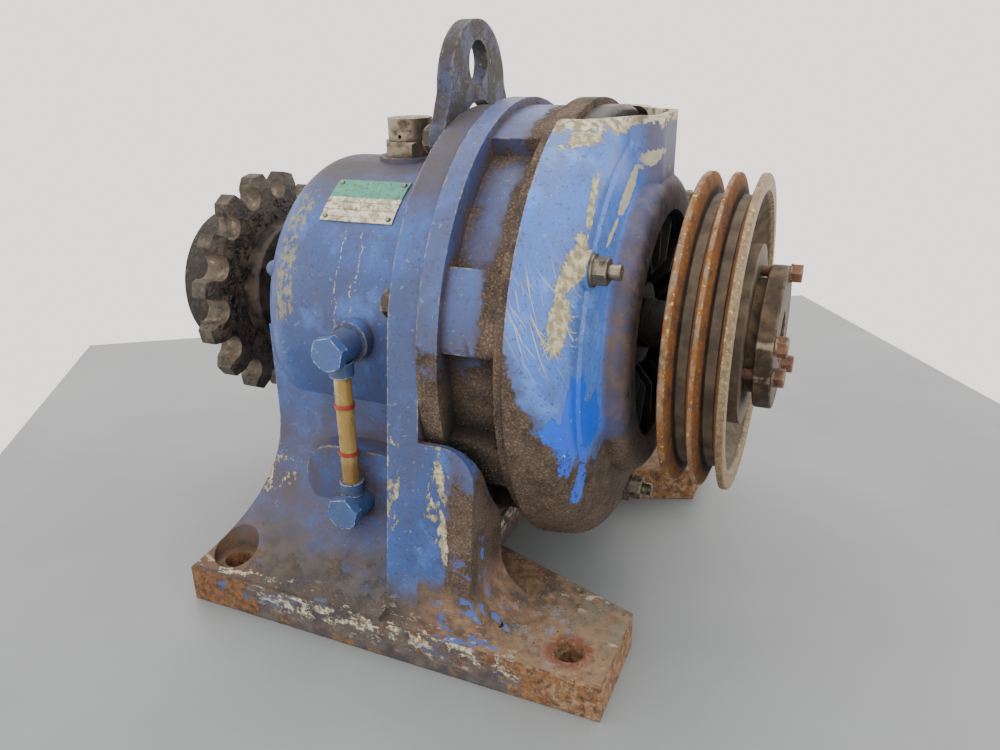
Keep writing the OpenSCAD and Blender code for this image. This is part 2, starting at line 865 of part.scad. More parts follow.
// plan of the flat-fronted hood that rises above the air opening
module hood_plan(inset) {
    round_r = 14;
    side = hood_half - round_r - inset / 2;
    polygon([[cover_x, -rear_half + inset * 1.2], [hood_x - round_r - inset, -side - round_r],
        [hood_x - inset, -side], [hood_x - inset, side], [hood_x - round_r - inset, side + round_r],
        [cover_x, rear_half - inset * 1.2]]);
    for (s = [-1, 1]) translate([hood_x - round_r - inset, s * side]) circle(r = round_r);
}

module cover_shape(inset) {
    turned() cover_section(inset);
    intersection() {
        translate([0, 0, shaft_h + cover_mouth_r - 20]) linear_extrude(cover_r) hood_plan(inset);
        bar_x(cover_x, 100, cover_r - inset);
    }
}

module fan_cover() {
    color(paint) difference() {
        union() {
            cover_shape(0);
            for (a = cover_angles) polar(pad_back, cover_stud_circle, a)
                cylinder(h = nut_seat - pad_back, r = pad_r);
        }
        difference() {
            translate([-0.01, 0, 0]) cover_shape(cover_wall);
            for (a = cover_angles) polar(pad_back, cover_stud_circle, a)
                cylinder(h = 20, r = pad_r);
        }
        bar_x(cover_x, 100, cover_mouth_r - 1);
        translate([cover_x - 5, -cover_r, shaft_h + cover_cut]) cube([120, 2 * cover_r, 60]);
        for (a = cover_angles) polar(cover_x, cover_stud_circle, a)
            cylinder(h = 80, r = stud_r + thread_gap);
    }
}

module cover_studs() {
    color(steel) for (a = cover_angles) {
        polar(shield_end - stud_seat, cover_stud_circle, a)
            cylinder(h = stud_end - shield_end + stud_seat, r = stud_r);
        polar(shield_end, cover_stud_circle, a) cylinder(h = pad_back - shield_end, r = sleeve_r);
    }
}

module cover_nuts() {
    color(steel) for (a = cover_angles) polar(nut_seat, cover_stud_circle, a) difference() {
        union() {
            cylinder(h = washer_t, r = washer_r);
            translate([0, 0, washer_t]) hex_head(17, 9);
        }
        translate([0, 0, -1]) cylinder(h = 20, r = stud_r);
    }
}

// ---------- output shaft ----------

module output_shaft() {
    hub_bore = hub_end + 4;
    color(dark_steel) difference() {
        union() {
            bar_x(hub_bore, carrier_x - hub_bore, out_r);
            bar_x(bearing_1_x + out_bearing_w, bearing_2_x - bearing_1_x - out_bearing_w, out_r + 6);
            bar_x(carrier_x - 4, 5, out_r + 6);
            bar_x(carrier_x, carrier_t, carrier_r);
        }
        for (i = [0:out_pin_count - 1]) polar(carrier_x + 4, out_pin_circle, i * 360 / out_pin_count)
            cylinder(h = carrier_t, r = out_pin_d / 2);
        bar_x(pilot_x, 40, pilot_d / 2 + pilot_wall);
        translate([hub_bore - 1, -out_key_w / 2, shaft_h + out_r - out_key_h / 2])
            cube([out_key_len + 1, out_key_w, out_key_h]);
    }
}

module output_pins() {
    color(steel) for (i = [0:out_pin_count - 1])
        polar(carrier_x + 4, out_pin_circle, i * 360 / out_pin_count)
            cylinder(h = stage_end + 1 - carrier_x - 4, r = out_pin_d / 2);
}

module output_rollers() {
    color(bronze) for (i = [0:out_pin_count - 1])
        polar(disc_a_x, out_pin_circle, i * 360 / out_pin_count) difference() {
            cylinder(h = stage_end - disc_a_x, r = out_roller_r);
            translate([0, 0, -1]) cylinder(h = stage_end - disc_a_x + 2, r = out_pin_d / 2);
        }
}

module pilot_sleeve() {
    color(bronze) ring_x(pilot_x, pilot_len, pilot_d / 2 + pilot_wall, pilot_d / 2 + fit);
}

module output_key() {
    color(steel) translate([hub_end + 4, -out_key_w / 2, shaft_h + out_r - out_key_h / 2])
        cube([out_key_len, out_key_w, out_key_h]);
}

// ---------- sprocket ----------

pitch_r = chain_pitch / 2 / sin(180 / sprocket_teeth);
roller_r = chain_pitch * 0.2915;
tip_r = pitch_r + chain_pitch * 0.33;
tooth_step = 360 / sprocket_teeth;
tooth_phase = 13.7;

// one gap between teeth: the roller seat and its flaring mouth
module tooth_gap() {
    flare = chain_pitch * 0.44;
    reach = tip_r + 8;
    translate([pitch_r, 0]) circle(r = roller_r, $fn = 48);
    polygon([[pitch_r - 2, -roller_r * 0.98], [pitch_r + chain_pitch * 0.10, -roller_r * 1.04],
        [reach, -flare * 1.18], [reach, flare * 1.18],
        [pitch_r + chain_pitch * 0.10, roller_r * 1.04], [pitch_r - 2, roller_r * 0.98]]);
}

module sprocket() {
    bevel = 5;
    color(dark_steel) difference() {
        union() {
            intersection() {
                slab_x(sprocket_x, tooth_w) translate([0, shaft_h]) difference() {
                    circle(r = tip_r, $fn = 96);
                    for (i = [0:sprocket_teeth - 1])
                        rotate(tooth_phase + i * tooth_step) tooth_gap();
                }
                turned() polygon([[0, sprocket_x], [tip_r - tooth_bevel_r, sprocket_x],
                    [tip_r + 1, sprocket_x + bevel], [tip_r + 1, sprocket_x + tooth_w - bevel],
                    [tip_r - tooth_bevel_r, sprocket_x + tooth_w],
                    [0, sprocket_x + tooth_w]]);
            }
            turned() polygon([[0, hub_end], [hub_r - 3, hub_end], [hub_r, hub_end + 3],
                [hub_r, sprocket_x + 1], [0, sprocket_x + 1]]);
        }
        bar_x(hub_end - 1, hub_len + tooth_w + 2, out_r);
        translate([hub_end - 1, -out_key_w / 2, shaft_h])
            cube([hub_len + tooth_w + 2, out_key_w, out_r + out_key_h / 2]);
        polar(hub_end + 20, 0, 35) rotate([0, -90, 0]) rotate([-90, 0, 0]) cylinder(h = 80, r = 5);
    }
}

module sprocket_screw() {
    color(steel) polar(hub_end + 20, 0, 35) rotate([0, -90, 0]) rotate([-90, 0, 0])
        translate([0, 0, out_r]) difference() {
            cylinder(h = hub_r - out_r - 1.5, r = 5);
            translate([0, 0, hub_r - out_r - 7]) cylinder(h = 10, r = 2.5, $fn = 6);
        }
}

module shaft_collar() {
    color(dark_steel) turned() polygon([[out_r, collar_x], [collar_r, collar_x],
        [collar_r, collar_x + collar_len - 2], [collar_r - 2, collar_x + collar_len],
        [out_r, collar_x + collar_len]]);
}

// ---------- input shaft ----------

key_w = 10;
key_h = 8;

module input_shaft() {
    journal_r = in_journal_d / 2;
    seat_r = in_shaft_d / 2;
    color(steel) difference() {
        union() {
            bar_x(pilot_x + 1, pilot_len, pilot_d / 2);
            bar_x(core_x, in_bearing_x - core_x, shaft_core_d / 2);
            bar_x(stage_end + 1, in_bearing_x - stage_end - 1, journal_r + 4);
            bar_x(in_bearing_x - 1, shield_boss_x + 2 - in_bearing_x, journal_r);
            bar_x(shield_boss_x, fan_x + 26 - shield_boss_x, fan_seat_d / 2);
            bar_x(fan_x + 20, shaft_end - fan_x - 20, seat_r);
        }
        translate([shaft_end - 46, -key_w / 2, shaft_h + seat_r - key_h / 2])
            cube([60, key_w, key_h]);
    }
}

module input_key() {
    color(steel) translate([shaft_end - 46, -key_w / 2, shaft_h + in_shaft_d / 2 - key_h / 2])
        cube([44, key_w, key_h]);
}

module ecc_bar(x, side) {
    translate([x, 0, shaft_h + side * eccentricity]) rotate([0, 90, 0])
        cylinder(h = disc_t, r = ecc_r - 0.1, $fn = 96);
}

module eccentric() {
    color(steel) difference() {
        union() {
            ecc_bar(disc_a_x, 1);
            ecc_bar(disc_b_x, -1);
            bar_x(disc_a_x + disc_t - 1, disc_gap + 2, ecc_r - eccentricity - 2);
        }
        bar_x(disc_a_x - 1, stage_end - disc_a_x + 2, shaft_core_d / 2);
    }
}

// rollers between an eccentric and its disc, held by a cage ring
module eccentric_rollers(x, side) {
    mid_r = (ecc_r + disc_bore) / 2;
    needle_r = (disc_bore - ecc_r) / 2 - 0.1;
    cage_half = 2;
    color(steel) {
        for (i = [0:needle_count - 1])
            polar(x + 2, mid_r, i * 360 / needle_count, side * eccentricity)
                cylinder(h = disc_t - 4, r = needle_r);
        translate([x + 3, 0, shaft_h + side * eccentricity]) rotate([0, 90, 0]) difference() {
            cylinder(h = 3, r = mid_r + cage_half);
            translate([0, 0, -1]) cylinder(h = 5, r = mid_r - cage_half);
        }
    }
}

module eccentric_rollers_a() {
    eccentric_rollers(disc_a_x, 1);
}

module eccentric_rollers_b() {
    eccentric_rollers(disc_b_x, -1);
}

// points of a cycloid disc: the ring pins' envelope, moved in by the roller radius
function cycloid_point(t) =
    let (r = ring_roller_r + profile_gap,
         lean = atan2(sin((1 - ring_count) * t),
             ring_pin_circle / (eccentricity * ring_count) - cos((1 - ring_count) * t)))
    [ring_pin_circle * cos(t) - r * cos(t + lean) - eccentricity * cos(ring_count * t),
     -ring_pin_circle * sin(t) + r * sin(t + lean) + eccentricity * sin(ring_count * t)];

module cycloid_outline() {
    count = lobes * disc_steps;
    polygon([for (i = [0:count - 1]) cycloid_point(360 * i / count)]);
}

// turn is the angle that seats the lobes between the ring rollers
module cycloid_disc(x, side, turn) {
    translate([x, 0, shaft_h + side * eccentricity]) rotate([90, 0, 90]) difference() {
        linear_extrude(disc_t) rotate(turn) cycloid_outline();
        translate([0, 0, -1]) cylinder(h = disc_t + 2, r = disc_bore, $fn = 96);
        for (i = [0:out_pin_count - 1]) rotate(i * 360 / out_pin_count)
            translate([out_pin_circle, 0, -1]) cylinder(h = disc_t + 2, r = pin_hole_r);
    }
}

module cycloid_disc_a() {
    color(steel) cycloid_disc(disc_a_x, 1, 90);
}

module cycloid_disc_b() {
    color(steel) cycloid_disc(disc_b_x, -1, -90);
}

// ---------- fan, sheave and bushing ----------

module fan_blade() {
    thick = 3;
    translate([fan_x, 0, shaft_h]) rotate([90, 0, 0]) translate([0, 0, -thick / 2])
        linear_extrude(thick) polygon([[2, 30], [10, fan_seat_d / 2 + 8], [28, 52], [28, 84],
            [9, 112], [5, fan_r], [2, fan_r]]);
}

module fan() {
    hub = fan_seat_d / 2 + 12;
    color([0.12, 0.12, 0.12]) difference() {
        union() {
            turned() polygon([[0, fan_x], [hub, fan_x], [fan_r, fan_x], [fan_r, fan_x + 3],
                [hub + 3, fan_x + 4], [hub, fan_x + 20], [0, fan_x + 20]]);
            for (i = [0:fan_blades - 1]) translate([0, 0, shaft_h]) rotate([i * 360 / fan_blades, 0, 0])
                translate([0, 0, -shaft_h]) fan_blade();
        }
        bar_x(fan_x - 1, 40, fan_seat_d / 2);
    }
}

// radius of the bushing's taper at a station along the shaft
function taper_r(x) =
    barrel_small + (barrel_large - barrel_small) * (x - sheave_x) / (sheave_end - sheave_x);

module groove(mid) {
    top = 8.4;
    floor_half = 3.2;
    polygon([[sheave_r + 1, mid - top], [sheave_r + 1, mid + top],
        [sheave_r - groove_depth, mid + floor_half], [sheave_r - groove_depth, mid - floor_half]]);
}

module sheave_solid() {
    rim_in = sheave_r - groove_depth - rim_wall;
    web_x = sheave_mid - web_t / 2;
    lip = 12;
    turned() difference() {
        union() {
            translate([sheave_hub_r - 5, web_x]) square([rim_in - sheave_hub_r + 6, web_t]);
            polygon([[barrel_large + 8, sheave_x + 2], [sheave_hub_r, sheave_x + 2],
                [sheave_hub_r, sheave_end + 1], [barrel_large - 8, sheave_end + 1],
                [barrel_small - 8, sheave_x + 2]]);
            polygon([[rim_in - 2, web_x], [rim_in + 4, sheave_x], [sheave_r - 1, sheave_x],
                [sheave_r, sheave_x + 1], [sheave_r, sheave_end - 1], [sheave_r - 1, sheave_end],
                [sheave_r - lip, sheave_end], [rim_in - 2, web_x + web_t]]);
        }
        for (i = [0:groove_count - 1]) groove(sheave_mid + (i - (groove_count - 1) / 2) * groove_pitch);
        polygon([[0, sheave_x - 1], [taper_r(sheave_x - 1), sheave_x - 1],
            [taper_r(bush_x), bush_x], [0, bush_x]]);
    }
}

module at_screws(x, angles) {
    for (a = angles) polar(x, screw_circle, a) children();
}

module sheave() {
    color(rust) difference() {
        sheave_solid();
        at_screws(sheave_end - screw_depth, screw_angles) cylinder(h = 40, r = screw_r);
    }
}

module bushing() {
    slot_w = 3;
    color(iron) difference() {
        turned() union() {
            polygon([[0, sheave_x], [taper_r(sheave_x), sheave_x], [taper_r(bush_x), bush_x],
                [taper_r(bush_x), bush_x + 1], [0, bush_x + 1]]);
            polygon([[0, bush_x], [bush_r - 1, bush_x], [bush_r, bush_x + 1],
                [bush_r, bush_end - 1], [bush_r - 1, bush_end], [0, bush_end]]);
        }
        bar_x(sheave_x - 1, bush_end - sheave_x + 2, in_shaft_d / 2);
        translate([sheave_x - 1, -key_w / 2, shaft_h])
            cube([bush_end - sheave_x + 2, key_w, in_shaft_d / 2 + key_h / 2]);
        translate([sheave_x - 1, -slot_w / 2, shaft_h - bush_r - 1])
            cube([bush_end - sheave_x + 2, slot_w, bush_r]);
        at_screws(bush_x - 1, concat(screw_angles, jack_angle)) cylinder(h = 40, r = screw_r);
    }
}

module bushing_screws() {
    grip = bush_end - sheave_end;
    color(iron) {
        at_screws(bush_end, concat(screw_angles, jack_angle)) {
            cylinder(h = 1.5, r = 7);
            translate([0, 0, 1.5]) hex_head(13, 7, 0.8);
            translate([0, 0, -bush_t]) cylinder(h = bush_t + 1, r = screw_r);
        }
        at_screws(sheave_end - screw_depth, screw_angles)
            cylinder(h = screw_depth + grip, r = screw_r);
    }
}

// ---------- drawing ----------

foot_casing();
casing_gasket();
ring_gear_housing();
shield_gasket();
end_shield();
ring_pins();
ring_rollers();
tie_bolts();
tie_nuts();
output_seal();
input_seal();
output_outer_race_front();
output_outer_race_rear();
input_outer_race();
lifting_lug();
breather_plug();
breather_cap();
gauge_top_fitting();
gauge_low_fitting();
gauge_tube();
gauge_marks();
gauge_ferrules();
nameplate();
nameplate_rivets();
fan_cover();
cover_studs();
cover_nuts();
jack_screws();
drain_plug();
output_shaft();
output_pins();
output_rollers();
output_inner_race_front();
output_inner_race_rear();
pilot_sleeve();
output_key();
sprocket();
sprocket_screw();
shaft_collar();
input_shaft();
eccentric();
eccentric_rollers_a();
eccentric_rollers_b();
input_inner_race();
fan();
sheave();
bushing();
bushing_screws();
input_key();
cycloid_disc_a();
cycloid_disc_b();
front_ball_set();
rear_ball_set();
input_ball_set();
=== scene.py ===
"""Foot-mounted cycloidal speed reducer: its finishes, fine pieces, light and camera.

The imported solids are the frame. This script dresses each of them with a worn finish and adds the
pieces that are too fine for the solids: threads, grease and dirt. Lengths are in metres unless a
name ends in _mm.
"""

import json
import logging
import math
import random
from dataclasses import dataclass
from enum import Enum
from typing import Any, Callable, Iterable, Mapping, NamedTuple, Sequence

import bmesh
import bpy
from mathutils import Euler, Matrix, Vector
from mathutils.bvhtree import BVHTree

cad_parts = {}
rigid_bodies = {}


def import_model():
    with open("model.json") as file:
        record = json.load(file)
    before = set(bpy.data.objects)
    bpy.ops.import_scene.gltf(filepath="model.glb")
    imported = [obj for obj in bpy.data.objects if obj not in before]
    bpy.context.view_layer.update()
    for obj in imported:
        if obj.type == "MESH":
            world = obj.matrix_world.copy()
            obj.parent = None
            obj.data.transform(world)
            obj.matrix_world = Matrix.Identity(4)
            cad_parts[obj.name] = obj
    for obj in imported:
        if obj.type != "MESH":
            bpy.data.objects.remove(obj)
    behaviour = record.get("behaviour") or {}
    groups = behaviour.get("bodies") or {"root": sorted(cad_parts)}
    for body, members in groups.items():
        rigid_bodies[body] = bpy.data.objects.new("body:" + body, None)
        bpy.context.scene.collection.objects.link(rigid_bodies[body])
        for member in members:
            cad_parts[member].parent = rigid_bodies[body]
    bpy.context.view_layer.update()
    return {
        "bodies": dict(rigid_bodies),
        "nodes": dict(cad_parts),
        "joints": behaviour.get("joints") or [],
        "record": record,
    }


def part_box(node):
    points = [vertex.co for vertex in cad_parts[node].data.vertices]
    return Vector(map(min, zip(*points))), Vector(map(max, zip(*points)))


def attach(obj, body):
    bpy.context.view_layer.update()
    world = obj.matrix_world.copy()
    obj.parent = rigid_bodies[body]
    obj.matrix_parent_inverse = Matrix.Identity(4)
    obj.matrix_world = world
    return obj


LOG = logging.getLogger("reducer")
MM = 0.001
SHAFT_HEIGHT_MM = 220.0
FRAME: dict[str, Any] = {}
DRESSED: set[str] = set()

Socket = bpy.types.NodeSocket
Material = bpy.types.Material
Triple = tuple[float, float, float]
Settings = Mapping[str | int, Any]


class Axis(Enum):
    """Directions of the part: along the shaft, across it, and up."""

    SHAFT = 0
    ACROSS = 1
    UP = 2


SHAFT, ACROSS, UP = Axis


class Patch(NamedTuple):
    """A soft round patch; squeeze shortens its reach along an axis."""

    centre_mm: Triple
    inner_mm: float
    outer_mm: float
    squeeze: Triple = (1.0, 1.0, 1.0)


class Streak(NamedTuple):
    """A soft streak between two points."""

    start_mm: Triple
    end_mm: Triple
    half_mm: float


def linear(code: str) -> tuple[float, float, float, float]:
    """Turns an sRGB hex colour into linear light.

    Args:
        code: A colour such as "#5f7fb5".

    Returns:
        Red, green, blue and an alpha of 1.
    """
    parts = [int(code[i : i + 2], 16) / 255 for i in (1, 3, 5)]
    red, green, blue = (p / 12.92 if p <= 0.04045 else ((p + 0.055) / 1.055) ** 2.4 for p in parts)
    return (red, green, blue, 1.0)


def add(
    tree: bpy.types.NodeTree,
    kind: str,
    settings: Settings | None = None,
    links: Mapping[str | int, Socket] | None = None,
) -> bpy.types.Node:
    """Adds a node with its settings and links.

    Args:
        tree: The node tree that the node joins.
        kind: The node's type name, without the prefix that all shader nodes share.
        settings: Attributes by name, and socket values by name or place.
        links: Sockets that feed the node's inputs, by input name or place.

    Returns:
        The new node.
    """
    node = tree.nodes.new("ShaderNode" + kind)
    for key, value in (settings or {}).items():
        if isinstance(key, str) and hasattr(node, key):
            setattr(node, key, value)
        else:
            node.inputs[key].default_value = value
    for key, source in (links or {}).items():
        tree.links.new(source, node.inputs[key])
    return node


@dataclass(frozen=True)
class Field:
    """A number that varies over a surface, with the arithmetic that masks need."""

    tree: bpy.types.NodeTree
    socket: Socket

    def join(self, work: str, *others: "Field | float", clamp: bool = False) -> "Field":
        """Works out a field from this one and others.

        Args:
            work: The operation's name.
            others: What the operation takes after this field.
            clamp: Keeps the result from 0 to 1.

        Returns:
            The result.
        """
        settings: dict[str | int, Any] = {"operation": work, "use_clamp": clamp}
        links = {0: self.socket}
        for place, other in enumerate(others, start=1):
            if isinstance(other, Field):
                links[place] = other.socket
            else:
                settings[place] = other
        return Field(self.tree, add(self.tree, "Math", settings, links).outputs[0])

    def __add__(self, other: "Field | float") -> "Field":
        """The sum."""
        return self.join("ADD", other)

    def __sub__(self, other: "Field | float") -> "Field":
        """The difference."""
        return self.join("SUBTRACT", other)

    def __mul__(self, other: "Field | float") -> "Field":
        """The product; of two masks, where both are."""
        return self.join("MULTIPLY", other)

    def __or__(self, other: "Field | float") -> "Field":
        """The higher of the two; of two masks, where either is."""
        return self.join("MAXIMUM", other)

    def __invert__(self) -> "Field":
        """Where a mask is not."""
        return self.join("MULTIPLY_ADD", -1.0, 1.0)

    def swing(self, amount: float) -> "Field":
        """Centres a field of 0 to 1 on 0, amount wide."""
        return (self - 0.5) * amount

    def step(self, low: float, high: float, bottom: float = 0.0, top: float = 1.0) -> "Field":
        """Goes smoothly from one value to another.

        Args:
            low: Where the change starts.
            high: Where it ends.
            bottom: The value below low.
            top: The value above high.

        Returns:
            The new field.
        """
        settings = {"interpolation_type": "SMOOTHSTEP", 1: low, 2: high, 3: bottom, 4: top}
        node = add(self.tree, "MapRange", settings, {0: self.socket})
        return Field(self.tree, node.outputs[0])

    def blend(self, low: str, high: str) -> Socket:
        """Gives the colour between low, at 0, and high, at 1."""
        settings = {"data_type": "RGBA", 6: linear(low), 7: linear(high)}
        return add(self.tree, "Mix", settings, {0: self.socket}).outputs[2]


class Surface:
    """A material built up in coats, from the bare metal outwards.

    A face that is open to less than shut counts fully as an edge or hollow, and one that is open
    to more than open_edge or open_hollow doesn't count at all.
    """

    samples: int = 6
    bevel_samples: int = 4
    shut: float = 0.35
    open_edge: float = 0.9
    open_hollow: float = 0.95
    streak_core: float = 0.2
    streak_end: float = 1.6

    def __init__(self, name: str, base: str, roughness: float, metallic: float = 0.0) -> None:
        """Starts from one plain coat.

        Args:
            name: The material's name.
            base: Colour of the first coat.
            roughness: Roughness of the first coat.
            metallic: 1 for bare metal, 0 for paint, rust and dirt.
        """
        self.material = bpy.data.materials.new(name)
        self.material.use_nodes = True
        self.tree = self.material.node_tree
        self.tree.nodes.clear()
        self.place = add(self.tree, "TexCoord").outputs["Object"]
        split = add(self.tree, "SeparateXYZ", links={0: self.place})
        self.axes = {axis: Field(self.tree, split.outputs[axis.value]) for axis in Axis}
        self.colour = add(self.tree, "RGB").outputs[0]
        self.colour.default_value = linear(base)
        self.rough = self.number(roughness)
        self.metal = self.number(metallic)
        self.height = self.number(0.0)

    def number(self, value: float) -> Field:
        """Gives a field that is the same everywhere.

        Args:
            value: The number.

        Returns:
            The field.
        """
        node = add(self.tree, "Value")
        node.outputs[0].default_value = value
        return Field(self.tree, node.outputs[0])

    def grain(
        self,
        size_mm: float,
        detail: float = 4.0,
        shift: float = 0.0,
        stretch: Triple = (1.0, 1.0, 1.0),
        turn: Triple = (0.0, 0.0, 0.0),
        rough: float = 0.6,
    ) -> Field:
        """Blotches of a real size.

        Args:
            size_mm: Distance from one blotch to the next.
            detail: How many finer sizes are mixed in.
            shift: Moves the pattern, so that two of a size differ.
            stretch: How many times longer the blotches are along each axis.
            turn: Degrees the stretched pattern is turned about each axis.
            rough: How strongly the finer sizes show.

        Returns:
            A field from 0 to 1.
        """
        angles = tuple(math.radians(t) for t in turn)
        settings = {"Rotation": angles, "Location": (shift, shift * 0.7, -shift)}
        turned = add(self.tree, "Mapping", settings, {"Vector": self.place})
        settings = {"Scale": tuple(1.0 / s for s in stretch)}
        scaled = add(self.tree, "Mapping", settings, {"Vector": turned.outputs[0]})
        settings = {"Scale": 1.0 / (size_mm * MM), "Detail": detail, "Roughness": rough}
        noise = add(self.tree, "TexNoise", settings, {"Vector": scaled.outputs[0]})
        return Field(self.tree, noise.outputs[0])

    def level(self, axis: Axis, low_mm: float, high_mm: float) -> Field:
        """Steps up along an axis.

        Args:
            axis: The axis.
            low_mm: Where the field is 0.
            high_mm: Where it is 1; it may lie on either side of low_mm.

        Returns:
            A mask.
        """
        if low_mm < high_mm:
            return self.axes[axis].step(low_mm * MM, high_mm * MM)
        return self.axes[axis].step(high_mm * MM, low_mm * MM, 1.0, 0.0)

    def band(self, axis: Axis, low_mm: float, high_mm: float, soft_mm: float) -> Field:
        """Marks what lies between two levels along an axis.

        Args:
            axis: The axis.
            low_mm: The lower level.
            high_mm: The higher level.
            soft_mm: How far beyond them the mask fades out.

        Returns:
            A mask.
        """
        return self.level(axis, low_mm - soft_mm, low_mm) * self.level(axis, high_mm + soft_mm, high_mm)

    def distance(self, settings: Settings) -> Field:
        """Measures how far away the origin of a moved, turned or squeezed frame is.

        Args:
            settings: The frame's place, turn and scale, as the mapping takes them.

        Returns:
            The distance, in the frame's own unit.
        """
        placed = add(self.tree, "Mapping", settings, {"Vector": self.place})
        settings = {"operation": "LENGTH"}
        far = add(self.tree, "VectorMath", settings, {0: placed.outputs[0]})
        return Field(self.tree, far.outputs["Value"])

    def near(self, patch: Patch) -> Field:
        """Gives a mask of a round patch.

        Args:
            patch: The patch.

        Returns:
            A mask.
        """
        scale = tuple(float(s) for s in patch.squeeze)
        centre = tuple(-c * MM * s for c, s in zip(patch.centre_mm, scale))
        far = self.distance({"vector_type": "POINT", "Location": centre, "Scale": scale})
        return far.step(patch.inner_mm * MM, patch.outer_mm * MM, 1.0, 0.0)

    def streaks(self, lines: Sequence[Streak]) -> Field:
        """Marks several streaks.

        Args:
            lines: The streaks.

        Returns:
            A field, 1 at the middle of each streak and 0 at 1.6 times its size.
        """
        best = self.number(0.0)
        for line in lines:
            start, end = Vector(line.start_mm), Vector(line.end_mm)
            along = end - start
            half = line.half_mm * MM
            far = self.distance({
                "vector_type": "TEXTURE",
                "Location": (start + end) * MM / 2,
                "Rotation": along.to_track_quat("Z", "Y").to_euler(),
                "Scale": (half, half, along.length / 2 * MM + half),
            })
            best = best | far.step(self.streak_core, self.streak_end, 1.0, 0.0)
        return best

    def radius(self) -> Field:
        """Gives the distance from the shaft's line, in metres.

        Returns:
            The distance.
        """
        across = self.axes[ACROSS]
        lift = self.axes[UP] - SHAFT_HEIGHT_MM * MM
        return across.join("MULTIPLY_ADD", across, lift * lift).join("SQRT")

    def edges(self, reach_mm: float) -> Field:
        """Marks outer edges and corners, where wear starts, reach_mm wide.

        Args:
            reach_mm: How far the marks reach from a corner.

        Returns:
            A mask.
        """
        settings = {"inside": True, "samples": self.samples, "Distance": reach_mm * MM}
        node = add(self.tree, "AmbientOcclusion", settings)
        return Field(self.tree, node.outputs["AO"]).step(self.shut, self.open_edge, 1.0, 0.0)

    def hollows(self, reach_mm: float) -> Field:
        """Marks corners and hollows, where dirt settles and where shade is painted, reach_mm wide.

        Args:
            reach_mm: How far the marks reach from a corner.

        Returns:
            A mask.
        """
        settings = {"samples": self.samples, "Distance": reach_mm * MM}
        node = add(self.tree, "AmbientOcclusion", settings)
        return Field(self.tree, node.outputs["AO"]).step(self.shut, self.open_hollow, 1.0, 0.0)

    def facing(self, axis: Axis) -> Field:
        """Tells how squarely a face looks along an axis, from -1 to 1.

        Args:
            axis: The axis.

        Returns:
            A field from -1 to 1.
        """
        normal = add(self.tree, "NewGeometry").outputs["Normal"]
        split = add(self.tree, "SeparateXYZ", links={0: normal})
        return Field(self.tree, split.outputs[axis.value])

    def coat(
        self,
        mask: Field,
        colour: str | Socket,
        roughness: float | None = None,
        metallic: float | None = None,
        lift_mm: float = 0.0,
    ) -> None:
        """Lays a coat over what is there.

        Args:
            mask: 1 where the coat is whole, 0 where there is none.
            colour: The coat's colour, or a socket that gives it.
            roughness: The coat's roughness, or None to leave it.
            metallic: The coat's metallic value, or None to leave it.
            lift_mm: How far the coat stands over the surface; below 0 it is a chip.
        """
        links = {0: mask.socket, 6: self.colour}
        settings: dict[str | int, Any] = {"data_type": "RGBA"}
        if isinstance(colour, str):
            settings[7] = linear(colour)
        else:
            links[7] = colour
        self.colour = add(self.tree, "Mix", settings, links).outputs[2]
        if roughness is not None:
            self.rough = self.mixed(mask, self.rough, roughness)
        if metallic is not None:
            self.metal = self.mixed(mask, self.metal, metallic)
        if lift_mm:
            self.relief(mask, lift_mm)

    def mixed(self, mask: Field, old: Field, new: float) -> Field:
        """Goes from an old value to a new one where a mask is.

        Args:
            mask: The mask.
            old: The value where the mask is 0.
            new: The value where it is 1.

        Returns:
            The mixed value.
        """
        links = {0: mask.socket, 2: old.socket}
        return Field(self.tree, add(self.tree, "Mix", {3: new}, links).outputs[0])

    def relief(self, field: Field, depth_mm: float) -> None:
        """Adds a field to the surface's relief, depth_mm high where it is 1."""
        self.height = field.join("MULTIPLY_ADD", depth_mm, self.height)

    def vary_roughness(self, field: Field, amount: float) -> None:
        """Makes the surface duller and glossier by a field centred on 0.5."""
        self.rough = (field - 0.5).join("MULTIPLY_ADD", amount, self.rough, clamp=True)

    def done(self, rounding_mm: float = 0.0, **fixed: float) -> Material:
        """Closes the material.

        Args:
            rounding_mm: How far sharp edges look rounded over.
            fixed: Values of the shader's own sockets, spaces written as underscores.

        Returns:
            The finished material.
        """
        links = {"Height": self.height.socket}
        if rounding_mm:
            settings = {"samples": self.bevel_samples, "Radius": rounding_mm * MM}
            rounded = add(self.tree, "Bevel", settings)
            links["Normal"] = rounded.outputs[0]
        bump = add(self.tree, "Bump", {"Strength": 1.0, "Distance": MM}, links)
        settings = {name.replace("_", " "): value for name, value in fixed.items()}
        links = {
            "Base Color": self.colour,
            "Roughness": self.rough.socket,
            "Metallic": self.metal.socket,
            "Normal": bump.outputs[0],
        }
        shader = add(self.tree, "BsdfPrincipled", settings, links)
        add(self.tree, "OutputMaterial", links={"Surface": shader.outputs[0]})
        return self.material


